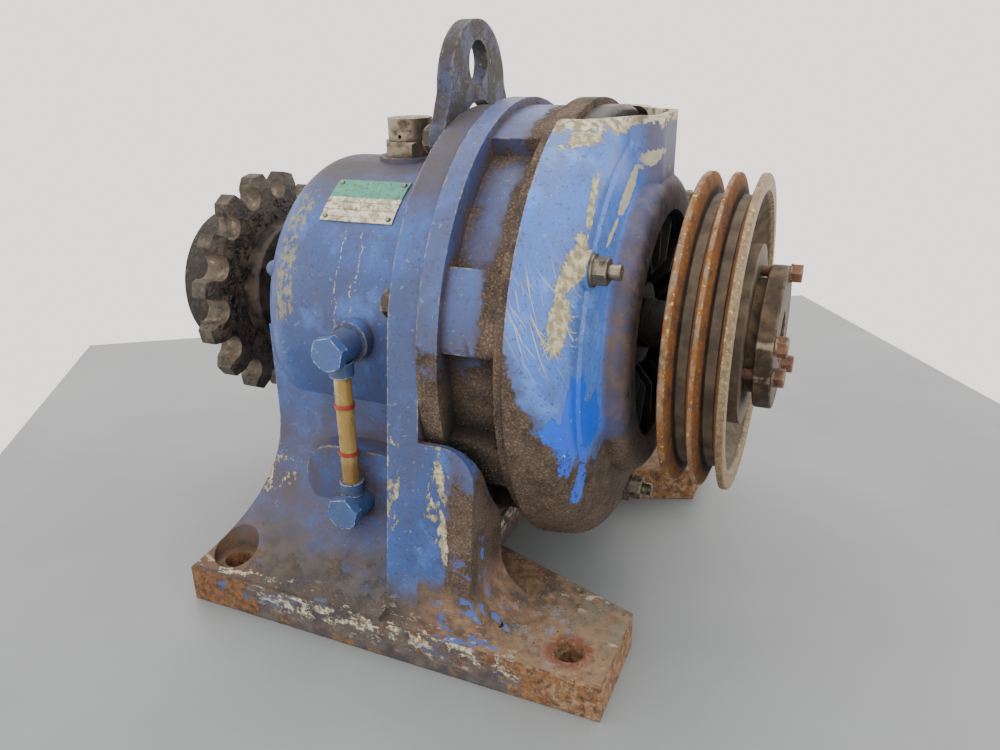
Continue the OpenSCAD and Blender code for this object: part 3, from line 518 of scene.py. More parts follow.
@dataclass(frozen=True)
class Grime:
    """Oily dust and sand that has dried on: brown, rough and gritty to the eye."""

    dark: str = "#352b25"
    light: str = "#5b4b3f"
    sand: str = "#84725b"
    # grit is drawn about twice as coarse as sand, so that it shows
    grit_mm: float = 1.6

    def settle(self, s: Surface, mask: Field, sandy: float = 0.6) -> None:
        """Lays thick dirt.

        Args:
            s: The surface being built.
            mask: Where the dirt lies.
            sandy: How much pale grit shows in it.
        """
        broad = s.grain(24, 6, 3.1, rough=0.68).step(0.30, 0.66)
        s.coat(mask, broad.blend(self.dark, self.light), 0.94, 0.0, 0.35)
        grit = s.grain(self.grit_mm, 2, 1.7)
        share = broad.join("MULTIPLY_ADD", 0.5 * sandy, 0.4 * sandy)
        s.coat(grit.step(0.52, 0.66) * mask * share, self.sand, 0.9, 0.0)
        pit = grit.step(0.34, 0.46, 1.0, 0.0) * mask
        s.coat(pit * 0.35, "#1c1510", 0.95, 0.0)
        s.relief(grit * mask, 0.8)

    def film(self, s: Surface, mask: Field, colour: str = "#4b4347") -> None:
        """Wipes a thin dull film over the finish.

        Args:
            s: The surface being built.
            mask: Where the film may lie.
            colour: The film's colour.
        """
        patchy = s.grain(30, 7, 61.0, rough=0.68).step(0.30, 0.62)
        s.coat(mask * patchy * 0.85, colour, 0.7, 0.0)


@dataclass(frozen=True)
class MachineEnamel:
    """Sprayed machinery enamel over cream primer on cast iron.

    Soft satin sheen, faint orange peel, chips that show the primer and then brown iron.
    """

    name: str
    blue: str = "#385ba0"
    shade: str = "#2f467c"
    dull: str = "#404460"
    bright: str = "#4873c0"
    primer: str = "#bdb596"
    rust: str = "#6e4630"
    gloss: float = 0.40
    chips: float = 0.5
    dirt: float = 0.5
    rounding_mm: float = 1.2
    grime: Grime = Grime()

    def start(self) -> Surface:
        """Lays the enamel itself, with its fading and the cast surface under it.

        Returns:
            The surface, ready for wear and dirt.
        """
        s = Surface(self.name, self.blue, self.gloss)
        s.coat(s.grain(120, 3).step(0.38, 0.66), self.shade)
        faded = s.grain(45, 7, 2.0, rough=0.66).step(0.38, 0.64)
        s.coat(faded * 0.58, self.dull, self.gloss + 0.15)
        s.coat(s.grain(30, 4, 5.0).step(0.53, 0.72) * 0.55, self.bright)
        rub = s.grain(9, 4, 7.0, stretch=(1.0, 1.0, 3.5))
        s.coat(rub.step(0.54, 0.68) * 0.35, self.dull, self.gloss + 0.1)
        s.coat(s.grain(2.6, 3, 9.0).step(0.58, 0.66) * 0.5, "#2a2d3e")
        scuff = s.grain(3.0, 2, 10.0, stretch=(3.0, 1.0, 1.0), turn=(0, 30, 20))
        s.coat(scuff.step(0.66, 0.72) * 0.4, "#8d97ad", self.gloss + 0.2)
        s.relief(s.grain(9, 3, 4.0), 0.5)
        s.relief(s.grain(2.2, 2, 6.0), 0.16)
        s.vary_roughness(s.grain(25, 4, 8.0), 0.35)
        return s

    def flake(
        self, s: Surface, level: Field, cut: float, where: Field | None = None, rusty: float = 0.075
    ) -> None:
        """Breaks the enamel away: dark rim, primer, rust in the middle.

        Args:
            s: The surface being built.
            level: The field that says where.
            cut: How high the field must be for the primer to show.
            where: Limits the flakes to a region.
            rusty: How far over the cut the field must be for rust to show.
        """
        rim = level.step(cut - 0.012, cut - 0.004)
        primer = level.step(cut, cut + 0.008)
        deep = level.step(cut + rusty, cut + rusty + 0.025)
        if where is not None:
            rim, primer, deep = (mask * where for mask in (rim, primer, deep))
        s.coat(rim * 0.7, "#3c3a42", 0.7)
        chalk = s.grain(4, 4, 2.5).step(0.4, 0.62).blend("#8b8268", self.primer)
        s.coat(primer, chalk, 0.82, 0.0, -0.18)
        s.coat(deep, self.rust, 0.9, 0.0, -0.1)

    def chip(self, s: Surface) -> None:
        """Chips the edges, and here and there the faces.

        Args:
            s: The surface being built.
        """
        noise = s.grain(10, 7, 12.0, rough=0.68)
        edge = s.edges(3.0) * (0.24 + 0.08 * self.chips)
        self.flake(s, noise + edge, 0.765 - 0.05 * self.chips, rusty=0.09)

    def flecks(self, s: Surface, amount: float = 0.5) -> None:
        """Knocks out small pale flecks where grit has hit the enamel.

        Args:
            s: The surface being built.
            amount: 0 for few flecks, 1 for many.
        """
        broad = s.grain(50, 3, 22.0).step(0.42, 0.62)
        small = s.grain(3.6, 3, 21.0, stretch=(0.8, 0.8, 1.5))
        self.flake(s, small, 0.745 - 0.04 * amount, broad)

    def soil(
        self, s: Surface, where: Field | None = None, reach_mm: float = 22.0, sandy: float = 0.6
    ) -> None:
        """Lets dirt settle in hollows that don't look down.

        Args:
            s: The surface being built.
            where: A region that is dirty as well.
            reach_mm: How wide the hollows may be.
            sandy: How much pale grit shows in the dirt.
        """
        resting = s.facing(UP).step(-0.7, 0.0, 0.30, 1.0)
        seat = s.hollows(reach_mm) * self.dirt * resting
        if where is not None:
            seat = seat | where
        self.grime.film(s, seat.step(0.05, 0.45))
        ragged = s.grain(20, 7, 15.0, rough=0.68).swing(1.5)
        self.grime.settle(s, (seat + ragged).step(0.40, 0.58), sandy)

    def material(self) -> Material:
        """Builds the plain worn enamel.

        Returns:
            The finished material.
        """
        s = self.start()
        self.chip(s)
        self.flecks(s)
        self.soil(s)
        return s.done(self.rounding_mm)


@dataclass(frozen=True)
class CasingEnamel(MachineEnamel):
    """The casing's enamel: runs of paint and a worn shoulder on the barrel, rusty feet."""

    name: str = "casing_enamel"
    foot_top_mm: float = 31.0
    run_x_mm: tuple[float, ...] = (-50.0, -66.0)
    flange_edge: Patch = Patch((9, -176, 140), 30, 90, (5, 1, 1))
    gusset_face: Patch = Patch((46, -178, 132), 12, 44, (2.2, 1, 0.75))
    heel: Patch = Patch((-138, -128, 100), 10, 34, (0.9, 1, 0.6))
    gusset_line: tuple[Streak, ...] = (
        Streak((47, -173, 168), (49, -177, 132), 5.0),
        Streak((50, -178, 122), (54, -184, 84), 4.5),
    )
    blue_foot: Patch = Patch((92, -196, 32), 22, 56, (0.9, 1, 1))
    blue_root: Patch = Patch((74, -168, 84), 8, 26)
    grey_end: Patch = Patch((158, -130, 31), 22, 62)
    pale_blue_spot: Patch = Patch((116, -156, 32), 10, 36)
    rusty_corner: Patch = Patch((-158, -186, 31), 16, 58)
    scoured_side: Patch = Patch((134, -110, 31), 12, 34)

    def runs(self, s: Surface) -> None:
        """Draws thin pale dotted runs down the barrel, under the plate's corners.

        Args:
            s: The surface being built.
        """
        wander = s.grain(30, 3, 31.0).swing(26 * MM)
        beads = s.grain(2.6, 3, 33.0).step(0.47, 0.55)
        side = s.level(ACROSS, -92, -96) * s.level(UP, 228, 232)
        for x in self.run_x_mm:
            off = (s.axes[SHAFT] - x * MM + wander).join("ABSOLUTE")
            line = off.step(0.2 * MM, 0.9 * MM, 1.0, 0.0) * beads
            s.coat(line * side * 0.8, self.primer, 0.8, 0.0, 0.1)

    def worn_shoulder(self, s: Surface) -> None:
        """Flakes a yellowish band where chain oil has worn the output shoulder.

        Args:
            s: The surface being built.
        """
        side = s.level(ACROSS, -48, -84) * s.level(UP, 212, 240)
        band = s.band(SHAFT, -121, -108, 7) * side
        noise = s.grain(5, 8, 35.0, stretch=(0.8, 1, 2.2), rough=0.75)
        mask = band.join("MULTIPLY_ADD", 0.14, noise).step(0.62, 0.66) * band
        s.coat(mask * 0.85, s.grain(9, 4, 36.0).blend("#6b6855", "#a39c7c"), 0.8, 0.0, -0.15)

    def dull_regions(self, s: Surface) -> None:
        """Films the pedestal low down, and the top of the barrel and flange, with oil.

        Args:
            s: The surface being built.
        """
        low = s.level(UP, 200, 120) * s.level(SHAFT, 4, -14)
        top = s.level(UP, 312, 342)
        self.grime.film(s, low | top)
        s.coat(top * s.grain(40, 6, 68.0).step(0.3, 0.7, 0.35, 0.80), "#454041", 0.7)

    def battered_gusset(self, s: Surface) -> None:
        """Flakes the outer edges of flange, gusset and heel down to cream.

        Args:
            s: The surface being built.
        """
        zone = s.near(self.flange_edge) * 0.9 | s.near(self.gusset_face) | s.near(self.heel)
        noise = s.grain(7, 8, 37.0, stretch=(1, 1, 1.6), rough=0.72)
        self.flake(s, zone.join("MULTIPLY_ADD", 0.15, noise), 0.70, zone, 0.12)

    def gusset_chips(self, s: Surface) -> None:
        """Draws a ragged cream line where the gusset's clean face turns to its dirty back.

        Args:
            s: The surface being built.
        """
        ragged = s.grain(7, 8, 38.0, stretch=(1, 1, 1.6), rough=0.74).swing(3.6)
        line = s.streaks(self.gusset_line)
        self.flake(s, line + ragged, 0.72, line.step(0.05, 0.3), rusty=1.2)

    def rusty_feet(self, s: Surface) -> None:
        """Rusts the feet's ends bare, and scours paint and primer between them.

        Args:
            s: The surface being built.
        """
        below = s.level(UP, self.foot_top_mm + 1.5, self.foot_top_mm - 1.0)
        side = below * s.facing(UP).step(0.3, 0.9, 1.0, 0.0)
        skin = s.grain(16, 7, 40.0, rough=0.68).step(0.38, 0.62).blend("#443c40", "#5f564f")
        s.coat(side * 0.92, skin, 0.8)
        blue = s.grain(14, 6, 40.5, stretch=(2, 2, 1)).step(0.50, 0.58) * s.level(UP, 12, 26)
        s.coat(blue * side * 0.8, "#44619e", 0.5)
        scour = s.grain(8, 8, 43.0, stretch=(1.6, 1.6, 1.0), rough=0.74)
        middle = s.level(SHAFT, -125, -95) * s.level(SHAFT, 150, 110)
        zone = side * s.level(UP, 2, 24) * middle
        cream = s.grain(3, 5, 45.0).step(0.36, 0.6).blend("#7b7363", "#cdc5ae")
        mask = zone.join("MULTIPLY_ADD", 0.05, scour).step(0.55, 0.585) * zone
        s.coat(mask, cream, 0.85, 0.0, -0.15)
        ends = s.level(SHAFT, 70, 150) | s.level(SHAFT, -90, -160)
        rusty = s.grain(18, 8, 41.0, rough=0.68) + ends * 0.25
        mask = rusty.step(0.56, 0.61) * side
        brown = s.grain(7, 8, 42.0, rough=0.72).step(0.36, 0.64).blend("#503626", "#85603f")
        s.coat(mask, brown, 0.93, 0.0, -0.3)
        pale = s.grain(5, 8, 46.0, rough=0.74).step(0.46, 0.62) * s.level(SHAFT, 60, 140)
        s.coat(pale * mask * 0.7, "#a68e70", 0.9, 0.0)
        orange = s.grain(4.0, 6, 44.0, rough=0.7).step(0.55, 0.66) * 0.75
        s.coat(orange * mask, "#a8622f", 0.92, 0.0)
        s.relief(s.grain(5, 5, 49.0) * mask, 0.9)

    def outer_faces(self, s: Surface) -> Field:
        """Marks the gussets' upright outer faces, which stay cleaner than what lies behind.

        Args:
            s: The surface being built.

        Returns:
            A mask.
        """
        outward = s.axes[ACROSS].join("SIGN") * s.facing(ACROSS)
        above = s.level(UP, 40, 84) * s.level(SHAFT, 62, 47)
        return outward.step(0.35, 0.75) * above

    def settled_dust(self, s: Surface) -> None:
        """Dusts the feet's tops grey-brown, tan towards the input end, with blue showing.

        Args:
            s: The surface being built.
        """
        zone = s.level(UP, 74, 40) * s.level(UP, 29, 30.5)
        veil = zone * s.grain(34, 8, 62.0, rough=0.68).step(0.26, 0.50)
        s.coat(veil * 0.85, s.grain(16, 6, 63.0).step(0.36, 0.64).blend("#3f3b38", "#554d45"), 0.9)
        tan = s.level(SHAFT, 6, 70) * s.grain(26, 8, 64.0, rough=0.7).step(0.36, 0.56)
        warm = s.grain(9, 7, 65.0).step(0.38, 0.62).blend("#6a4f3b", "#92755a")
        s.coat(tan * zone * 0.85, warm, 0.93)
        island = s.grain(12, 6, 66.0, stretch=(2.0, 1, 1)).step(0.56, 0.59)
        left = s.near(self.blue_foot) | s.near(self.blue_root)
        s.coat(island * left * 0.9, "#4364ae", 0.5, 0.0, 0.2)
        faded = s.near(self.grey_end) * s.grain(15, 8, 69.0, rough=0.7).step(0.40, 0.56)
        s.coat(faded * zone * 0.75, s.grain(6, 6, 69.5).blend("#5c5b52", "#87836f"), 0.9)
        spots = s.grain(7, 7, 70.0, rough=0.7).step(0.54, 0.58) * s.near(self.pale_blue_spot)
        s.coat(spots * 0.8, "#6e8fae", 0.7)
        corner = s.near(self.rusty_corner) * s.grain(13, 7, 72.0, rough=0.7).step(0.36, 0.54)
        s.coat(corner * zone * 0.85, s.grain(5, 6, 72.5).blend("#56402f", "#7c604a"), 0.92)
        scuffed = s.grain(8, 8, 67.0, stretch=(1.8, 1, 1), rough=0.74).step(0.57, 0.60)
        rims = s.level(ACROSS, -184, -199) | s.level(SHAFT, 162, 178)
        rims = rims | s.near(self.scoured_side)
        s.coat(scuffed * (rims * zone), "#b8b099", 0.85, 0.0, -0.1)

    def hole_rims(self, s: Surface) -> None:
        """Lays reddish rust and tan dust round the bolt holes of the input-end feet.

        Args:
            s: The surface being built.
        """
        for y in (-178, 178):
            dust = s.near(Patch((140, y, self.foot_top_mm), 22, 62))
            dust = dust * s.grain(13, 7, 50.0).step(0.36, 0.54)
            s.coat(dust * 0.8, s.grain(5, 6, 51.0).blend("#6d5a48", "#a18467"), 0.92)
            rim = s.near(Patch((146.5, y, self.foot_top_mm), 13, 22))
            rim = rim * s.grain(7, 5, 47.0).step(0.36, 0.52)
            s.coat(rim, s.grain(5, 5, 48.0).blend("#55301f", "#86503a"), 0.92)

    def material(self) -> Material:
        """Builds the casing's finish.

        Returns:
            The finished material.
        """
        s = self.start()
        self.dull_regions(s)
        self.runs(s)
        self.worn_shoulder(s)
        self.battered_gusset(s)
        self.chip(s)
        self.flecks(s)
        top = s.level(UP, self.foot_top_mm + 34, self.foot_top_mm - 2) * 0.62
        behind = s.level(UP, 230, 90) * s.level(SHAFT, 29, 33) * 0.85
        self.soil(s, top | behind * ~self.outer_faces(s))
        self.gusset_chips(s)
        self.settled_dust(s)
        self.hole_rims(s)
        self.rusty_feet(s)
        return s.done(self.rounding_mm)


@dataclass(frozen=True)
class HousingEnamel(MachineEnamel):
    """The ring housing's enamel, half hidden under brown dirt."""

    name: str = "housing_enamel"
    blue: str = "#3f5690"
    shade: str = "#394878"
    dull: str = "#47465a"
    bright: str = "#4d6eb4"
    chips: float = 0.3
    dirt: float = 0.80

    def material(self) -> Material:
        """Builds the housing's finish: brown towards the cover and underneath, with painted shade in
        its hollows low down.

        Returns:
            The finished material.
        """
        s = self.start()
        self.chip(s)
        self.flecks(s, 0.3)
        low = s.level(UP, 285, 185) * 0.9
        rim = s.level(SHAFT, 64, 84) * 0.95
        self.soil(s, low | rim, 26, 0.8)
        # painted shade: near black in the hollows, full below 215 mm and fading out by 270 mm
        s.coat(s.hollows(34) * s.level(UP, 270, 215), "#17120e", 0.95, 0.0)
        return s.done(self.rounding_mm)


@dataclass(frozen=True)
class CoverEnamel(MachineEnamel):
    """The fan cover's enamel on thin casting: brighter, scraped, wiped clean in patches."""

    name: str = "cover_enamel"
    blue: str = "#4778d0"
    shade: str = "#416ab8"
    dull: str = "#56628e"
    bright: str = "#6298f0"
    wiped: str = "#1f5fe0"
    gloss: float = 0.30
    chips: float = 0.40
    dirt: float = 0.20
    flat_cut_mm: float = 375.0
    scraped: tuple[Streak, ...] = (
        Streak((134, -102, 350), (136, -128, 318), 4.0),
        Streak((135, -133, 315), (131, -155, 287), 9.0),
        Streak((131, -156, 285), (128, -168, 252), 8.5),
        Streak((112, -95, 368), (123, -82, 373), 8.0),
        Streak((131, -62, 375), (139, -36, 379), 7.0),
    )
    crest: tuple[Streak, ...] = (
        Streak((156, -18, 356), (147, -33, 351), 6.0),
        Streak((145, -34, 347), (143, -78, 322), 6.5),
        Streak((144, -80, 320), (142, -103, 305), 2.6),
    )
    stud_haze: Patch = Patch((148, -120, 250), 24, 58, (1, 1, 0.8))
    stud_drip: Patch = Patch((146, -127, 270), 3, 13, (1, 1, 0.32))
    hairlines: Patch = Patch((122, -166, 270), 10, 38, (1, 1, 0.8))
    wiped_spots: tuple[Patch, ...] = (
        Patch((138, -154, 196), 2, 24, (1.1, 0.7, 0.36)),
        Patch((133, -158, 192), 5, 30, (0.9, 0.8, 1.5)),
        Patch((142, -130, 184), 4, 24, (1, 1, 0.6)),
        Patch((136, -134, 140), 2, 13, (1, 1, 0.42)),
    )

    def dull_front(self, s: Surface) -> None:
        """Films the front violet-grey, browner by the stud, with painted shade round the air opening.

        Args:
            s: The surface being built.
        """
        front = s.level(SHAFT, 144, 151)
        s.coat(front * 0.6, "#5b5f86", 0.5)
        self.grime.film(s, front * 0.8, "#5a4f58")
        hood = s.level(UP, 332, 354) * s.level(SHAFT, 140, 152)
        s.coat(hood * 0.55, "#5a5960", 0.65)
        rubbed = s.grain(14, 7, 73.0, rough=0.68).step(0.40, 0.56)
        soiled = (s.near(self.stud_haze) * rubbed | s.near(self.stud_drip)) * front
        s.coat(soiled * 0.85, rubbed.blend("#46362b", "#6b574a"), 0.75)
        # painted shade: the rim round the air opening is darkened to brown-black, standing for the
        # shade inside the bell
        mouth_shade = s.radius().step(0.106, 0.132, 1.0, 0.0) * front
        s.coat(mouth_shade * 0.9, rubbed.blend("#2e2520", "#54453a"), 0.8)

    def scrapes(self, s: Surface) -> None:
        """Scrapes the enamel to primer: broken patches and a fan of hairlines beside them.

        Args:
            s: The surface being built.
        """
        noise = s.grain(11, 8, 52.0, stretch=(1.0, 1.0, 1.7), turn=(14, 0, 0), rough=0.75)
        self.flake(s, s.streaks(self.scraped) + noise.swing(3.4), 0.52, rusty=1.2)
        zone = s.near(self.hairlines)
        for turn, shift in ((30.0, 53.0), (42.0, 54.0), (20.0, 56.0)):
            hair = s.grain(3.2, 1, shift, stretch=(0.45, 6.0, 12.0), turn=(0, turn, 0))
            s.coat(hair.step(0.655, 0.675) * zone * 0.85, self.primer, 0.8, 0.0, -0.1)

    def wipe(self, s: Surface) -> None:
        """Wipes the dirt off to clean strong blue, with runny edges.

        Args:
            s: The surface being built.
        """
        ragged = s.grain(15, 5, 55.0, stretch=(1, 1, 1.8)).swing(2.2)
        strip, wide, right, tail = (s.near(spot) for spot in self.wiped_spots)
        reach = (strip | wide) | (right | tail)
        mask = (reach + ragged).step(0.50, 0.54) * reach.step(0.02, 0.10)
        s.coat(mask, self.wiped, 0.28, 0.0, -0.3)
        s.coat(s.grain(4, 5, 55.5).step(0.66, 0.69) * mask, "#a9b4c4", 0.6, 0.0)

    def primed_edges(self, s: Surface) -> None:
        """Bares cream primer along the flat cut at the top, and on the crest over the opening.

        Args:
            s: The surface being built.
        """
        height = s.axes[UP] + s.grain(10, 6, 57.0, rough=0.7).swing(26 * MM)
        cream = s.grain(6, 5, 58.0).step(0.42, 0.6).blend("#857a66", "#cbc4ac")
        top = height.step((self.flat_cut_mm - 0.5) * MM, (self.flat_cut_mm + 0.5) * MM)
        s.coat(top, cream, 0.85, 0.0, -0.15)
        uneven = s.grain(8, 7, 60.0, rough=0.72).swing(1.8)
        crest = (s.streaks(self.crest) + uneven).step(0.50, 0.56)
        s.coat(crest, s.grain(5, 4, 59.5).blend("#8f8a76", "#c4bfa8"), 0.8, 0.0, -0.1)

    def material(self) -> Material:
        """Builds the cover's finish, dirty low down and towards the housing.

        Returns:
            The finished material.
        """
        s = self.start()
        self.dull_front(s)
        self.chip(s)
        self.flecks(s, 0.35)
        self.scrapes(s)
        self.primed_edges(s)
        slope = s.axes[SHAFT].join("MULTIPLY_ADD", 2.2, s.axes[UP])
        side = slope.step(0.425, 0.500, 1.0, 0.0)
        front = s.level(UP, 190, 140) * s.level(SHAFT, 138, 146)
        self.soil(s, (side | front) * 0.98, 12, 0.75)
        self.wipe(s)
        return s.done(self.rounding_mm)


@dataclass(frozen=True)
class GreasyIron:
    """Cast iron under old chain grease: nearly black, wet in places, bare where it is rubbed."""

    name: str
    dark: str = "#221c18"
    light: str = "#4a3f35"
    worn: str = "#8b7c68"
    rubbed: float = 0.5

    def material(self) -> Material:
        """Builds the greasy finish.

        Returns:
            The finished material.
        """
        s = Surface(self.name, self.dark, 0.55)
        s.coat(s.grain(18, 5).step(0.4, 0.65), self.light, 0.7)
        s.relief(s.grain(7, 4, 2.0), 0.5)
        rub = s.grain(9, 4, 4.0) + s.edges(5) * 0.2
        s.coat(rub.step(0.66, 0.76) * self.rubbed, self.worn, 0.4, 0.6)
        s.coat(s.grain(12, 5, 6.0).step(0.56, 0.62) * 0.6, "#120e0c", 0.25, 0.0, 0.3)
        return s.done(0.8)


@dataclass(frozen=True)
class SprocketIron(GreasyIron):
    """The sprocket's greasy iron, with the tooth seats rubbed to bare metal."""

    name: str = "sprocket_iron"
    dark: str = "#2b241e"
    light: str = "#54483b"
    web_mm: tuple[float, float] = (60.0, 75.0)
    seat_mm: tuple[float, float] = (79.0, 82.0)
    tip_mm: tuple[float, float] = (88.0, 99.0)

    def seats(self, s: Surface, radius: Field) -> Field:
        """Marks where the chain's rollers seat between the teeth.

        Args:
            s: The surface being built.
            radius: Distance from the shaft's line.

        Returns:
            A mask.
        """
        root, seat = (edge * MM for edge in self.seat_mm)
        low, tip = (edge * MM for edge in self.tip_mm)
        flank = s.facing(SHAFT).join("ABSOLUTE").step(0.5, 0.8, 1.0, 0.0)
        return radius.step(root, seat) * radius.step(low, tip, 1.0, 0.12) * flank

    def material(self) -> Material:
        """Builds the sprocket's finish.

        Returns:
            The finished material.
        """
        s = Surface(self.name, self.dark, 0.6)
        s.coat(s.grain(14, 6).step(0.4, 0.62), self.light, 0.72)
        s.coat(s.level(SHAFT, -231, -236) * 0.9, "#1f1a16", 0.80)
        s.coat(s.grain(4, 4, 12.0).step(0.56, 0.66) * 0.3, "#6d5c49", 0.7, 0.1)
        s.relief(s.grain(6, 5, 2.0), 0.9)
        radius = s.radius()
        seat = self.seats(s, radius)
        broken = s.grain(13, 4, 8.0).step(0.34, 0.56)
        s.coat(seat * broken * 0.85, "#655848", 0.48, 0.3)
        bright = s.grain(9, 3, 9.0).step(0.52, 0.68)
        s.coat(seat * bright * 0.75, "#95866f", 0.38, 0.45)
        hub, web = (edge * MM for edge in self.web_mm)
        lump = s.grain(7, 5, 6.0).step(0.50, 0.6) * radius.step(hub, web)
        s.coat(lump * ~seat * 0.7, "#120e0b", 0.30, 0.0, 1.0)
        return s.done(1.2)


@dataclass(frozen=True)
class RustedSheave:
    """Turned cast iron with orange surface rust; the belts keep the groove floors dull."""

    name: str = "rusted_sheave"
    rim_mm: float = 119.5
    floor_mm: float = 108.0
    face_mm: float = 104.0

    def rust(self) -> Surface:
        """Starts the sheave's finish with rust over dark iron.

        Returns:
            The rusty surface.
        """
        s = Surface(self.name, "#533a2a", 0.8)
        s.coat(s.grain(12, 6).step(0.30, 0.56), s.grain(3, 5, 1.0).blend("#5b3a1f", "#976230"), 0.9)
        s.coat(s.grain(2.2, 3, 2.0).step(0.58, 0.68) * 0.7, "#c08238", 0.9)
        s.coat(s.grain(26, 5, 2.4).step(0.52, 0.66) * 0.5, "#4a3a30", 0.8)
        s.relief(s.grain(2.5, 4, 3.0), 0.35)
        return s

    def material(self) -> Material:
        """Builds the sheave's finish.

        Returns:
            The finished material.
        """
        s = self.rust()
        radius = s.radius()
        floor = radius.step((self.floor_mm - 1) * MM, (self.floor_mm + 2.5) * MM, 1.0, 0.0)
        dull = s.grain(14, 5, 4.0).step(0.4, 0.62).blend("#231d1e", "#393130")
        s.coat(floor, dull, 0.72, 0.1)
        tip = radius.step((self.rim_mm - 1.6) * MM, (self.rim_mm - 0.5) * MM)
        broken = s.grain(6, 6, 5.0, stretch=(1, 2, 2)).step(0.40, 0.60)
        s.coat(tip * broken * 0.55, s.grain(5, 5, 6.0).blend("#7d6a55", "#a8967a"), 0.5, 0.3)
        turned = radius.step(self.face_mm * MM, (self.face_mm + 2.5) * MM)
        face = s.level(SHAFT, 222.5, 225.0) * turned
        s.coat(face, s.grain(3.5, 6, 7.0).step(0.30, 0.70).blend("#66543f", "#92805f"), 0.55, 0.25)
        s.coat(s.grain(3.4, 4, 8.0).step(0.60, 0.66) * (face | tip), "#cfa955", 0.6, 0.1)
        inside = radius.step((self.face_mm - 0.5) * MM, (self.face_mm + 1.5) * MM, 1.0, 0.0)
        inner = inside * s.level(SHAFT, 186, 190)
        s.coat(inner, s.grain(16, 6, 9.0).step(0.34, 0.66).blend("#463a2f", "#6a5b48"), 0.65, 0.2)
        return s.done(0.6)


@dataclass(frozen=True)
class OiledIron:
    """Machined iron with a brown skin of oil and light rust: dull, pale on rubbed corners."""

    name: str
    dark: str
    light: str
    metal: float = 0.3

    def material(self) -> Material:
        """Builds the oiled finish.

        Returns:
            The finished material.
        """
        s = Surface(self.name, self.dark, 0.6, self.metal)
        s.coat(s.grain(20, 6).step(0.40, 0.62), self.light, 0.66)
        s.coat(s.grain(5, 5, 3.0).step(0.56, 0.66) * 0.6, "#2c211a", 0.8)
        rubbed = s.edges(2.5) * s.grain(7, 4, 5.0).step(0.42, 0.58)
        s.coat(rubbed, "#a89880", 0.42, 0.5)
        s.relief(s.grain(3, 4, 7.0), 0.2)
        return s.done(0.8)


@dataclass(frozen=True)
class BareSteel:
    """Machined steel with handling stains; bright on flats, brown in the corners."""

    name: str
    bright: str = "#b3ada2"
    stain: str = "#5e4f3f"
    stained: float = 0.5
    roughness: float = 0.30
    # tool marks are drawn coarser than real ones, so that they show
    tool_mark_mm: float = 0.6

    def material(self) -> Material:
        """Builds the steel finish.

        Returns:
            The finished material.
        """
        s = Surface(self.name, self.bright, self.roughness, 1.0)
        s.coat(s.grain(8, 6).step(0.42, 0.66) * self.stained, self.stain, 0.7, 0.3)
        s.coat(s.hollows(8) * s.grain(6, 5, 2.0).step(0.3, 0.6), "#2b211a", 0.85, 0.0)
        s.relief(s.grain(self.tool_mark_mm, 1), 0.03)
        s.vary_roughness(s.grain(5, 4, 4.0), 0.4)
        return s.done(0.5)


@dataclass(frozen=True)
class PaintedPlate:
    """Flame-cut steel plate with the paint worn thin: grey-blue face, rough edges rubbed pale."""

    name: str = "lug_plate"

    def material(self) -> Material:
        """Builds the lug's finish.

        Returns:
            The finished material.
        """
        s = Surface(self.name, "#343a5a", 0.5, 0.1)
        s.coat(s.grain(22, 7).step(0.38, 0.58), "#302c2a", 0.62, 0.1)
        s.coat(s.grain(4, 6, 3.0).step(0.54, 0.64) * 0.8, "#2a2420", 0.8, 0.0)
        s.coat(s.grain(3, 4, 9.0).step(0.62, 0.7) * 0.6, "#8f8778", 0.7, 0.1)
        s.coat(s.edges(3) * s.grain(7, 5, 4.0).step(0.40, 0.60), "#7a705e", 0.55, 0.3)
        s.relief(s.grain(3, 4, 5.0), 0.4)
        return s.done(1.0)


@dataclass(frozen=True)
class StampedPlate:
    """Etched aluminium plate, left blank: stained silver fields under a green head band."""

    name: str = "blank_plate"
    band_from_mm: float = 320.5
    line_mm: float = 4.6

    def material(self) -> Material:
        """Builds the plate's finish.

        Returns:
            The finished material.
        """
        s = Surface(self.name, "#d2ccb8", 0.42, 0.45)
        s.coat(s.grain(7, 7).step(0.44, 0.62), "#a29880", 0.6, 0.3)
        band = s.level(UP, self.band_from_mm, self.band_from_mm + 0.4)
        s.coat(band, s.grain(8, 4, 2.0).blend("#2c7a64", "#4f9c84"), 0.45, 0.1)
        rule = s.axes[UP].join("DIVIDE", self.line_mm * MM).join("FRACT")
        below = s.level(UP, self.band_from_mm - 1, self.band_from_mm - 1.4)
        line = rule.step(0.07, 0.13, 1.0, 0.0) * below
        s.coat(line * 0.6, "#4a443a", 0.7, 0.1, -0.05)
        s.coat(s.grain(3, 6, 5.0).step(0.54, 0.62) * 0.65, "#54483a", 0.85, 0.0)
        return s.done(0.3)


@dataclass(frozen=True)
class FittingEnamel(MachineEnamel):
    """Enamel on the gauge's fittings, rubbed to pale metal along every corner by spanners."""

    name: str = "fitting_enamel"
    blue: str = "#3f629f"
    shade: str = "#37558b"
    dull: str = "#474f68"
    bright: str = "#5986cc"
    dirt: float = 0.45

    def material(self) -> Material:
        """Builds the fittings' finish.

        Returns:
            The finished material.
        """
        s = self.start()
        self.grime.film(s, s.level(ACROSS, -157, -155), "#343b50")
        corner = s.edges(1.6) * s.grain(5, 5, 71.0).step(0.34, 0.50)
        s.coat(corner.step(0.30, 0.60), "#c9ccd0", 0.45, 0.3)
        self.soil(s, reach_mm=9)
        return s.done(0.5)


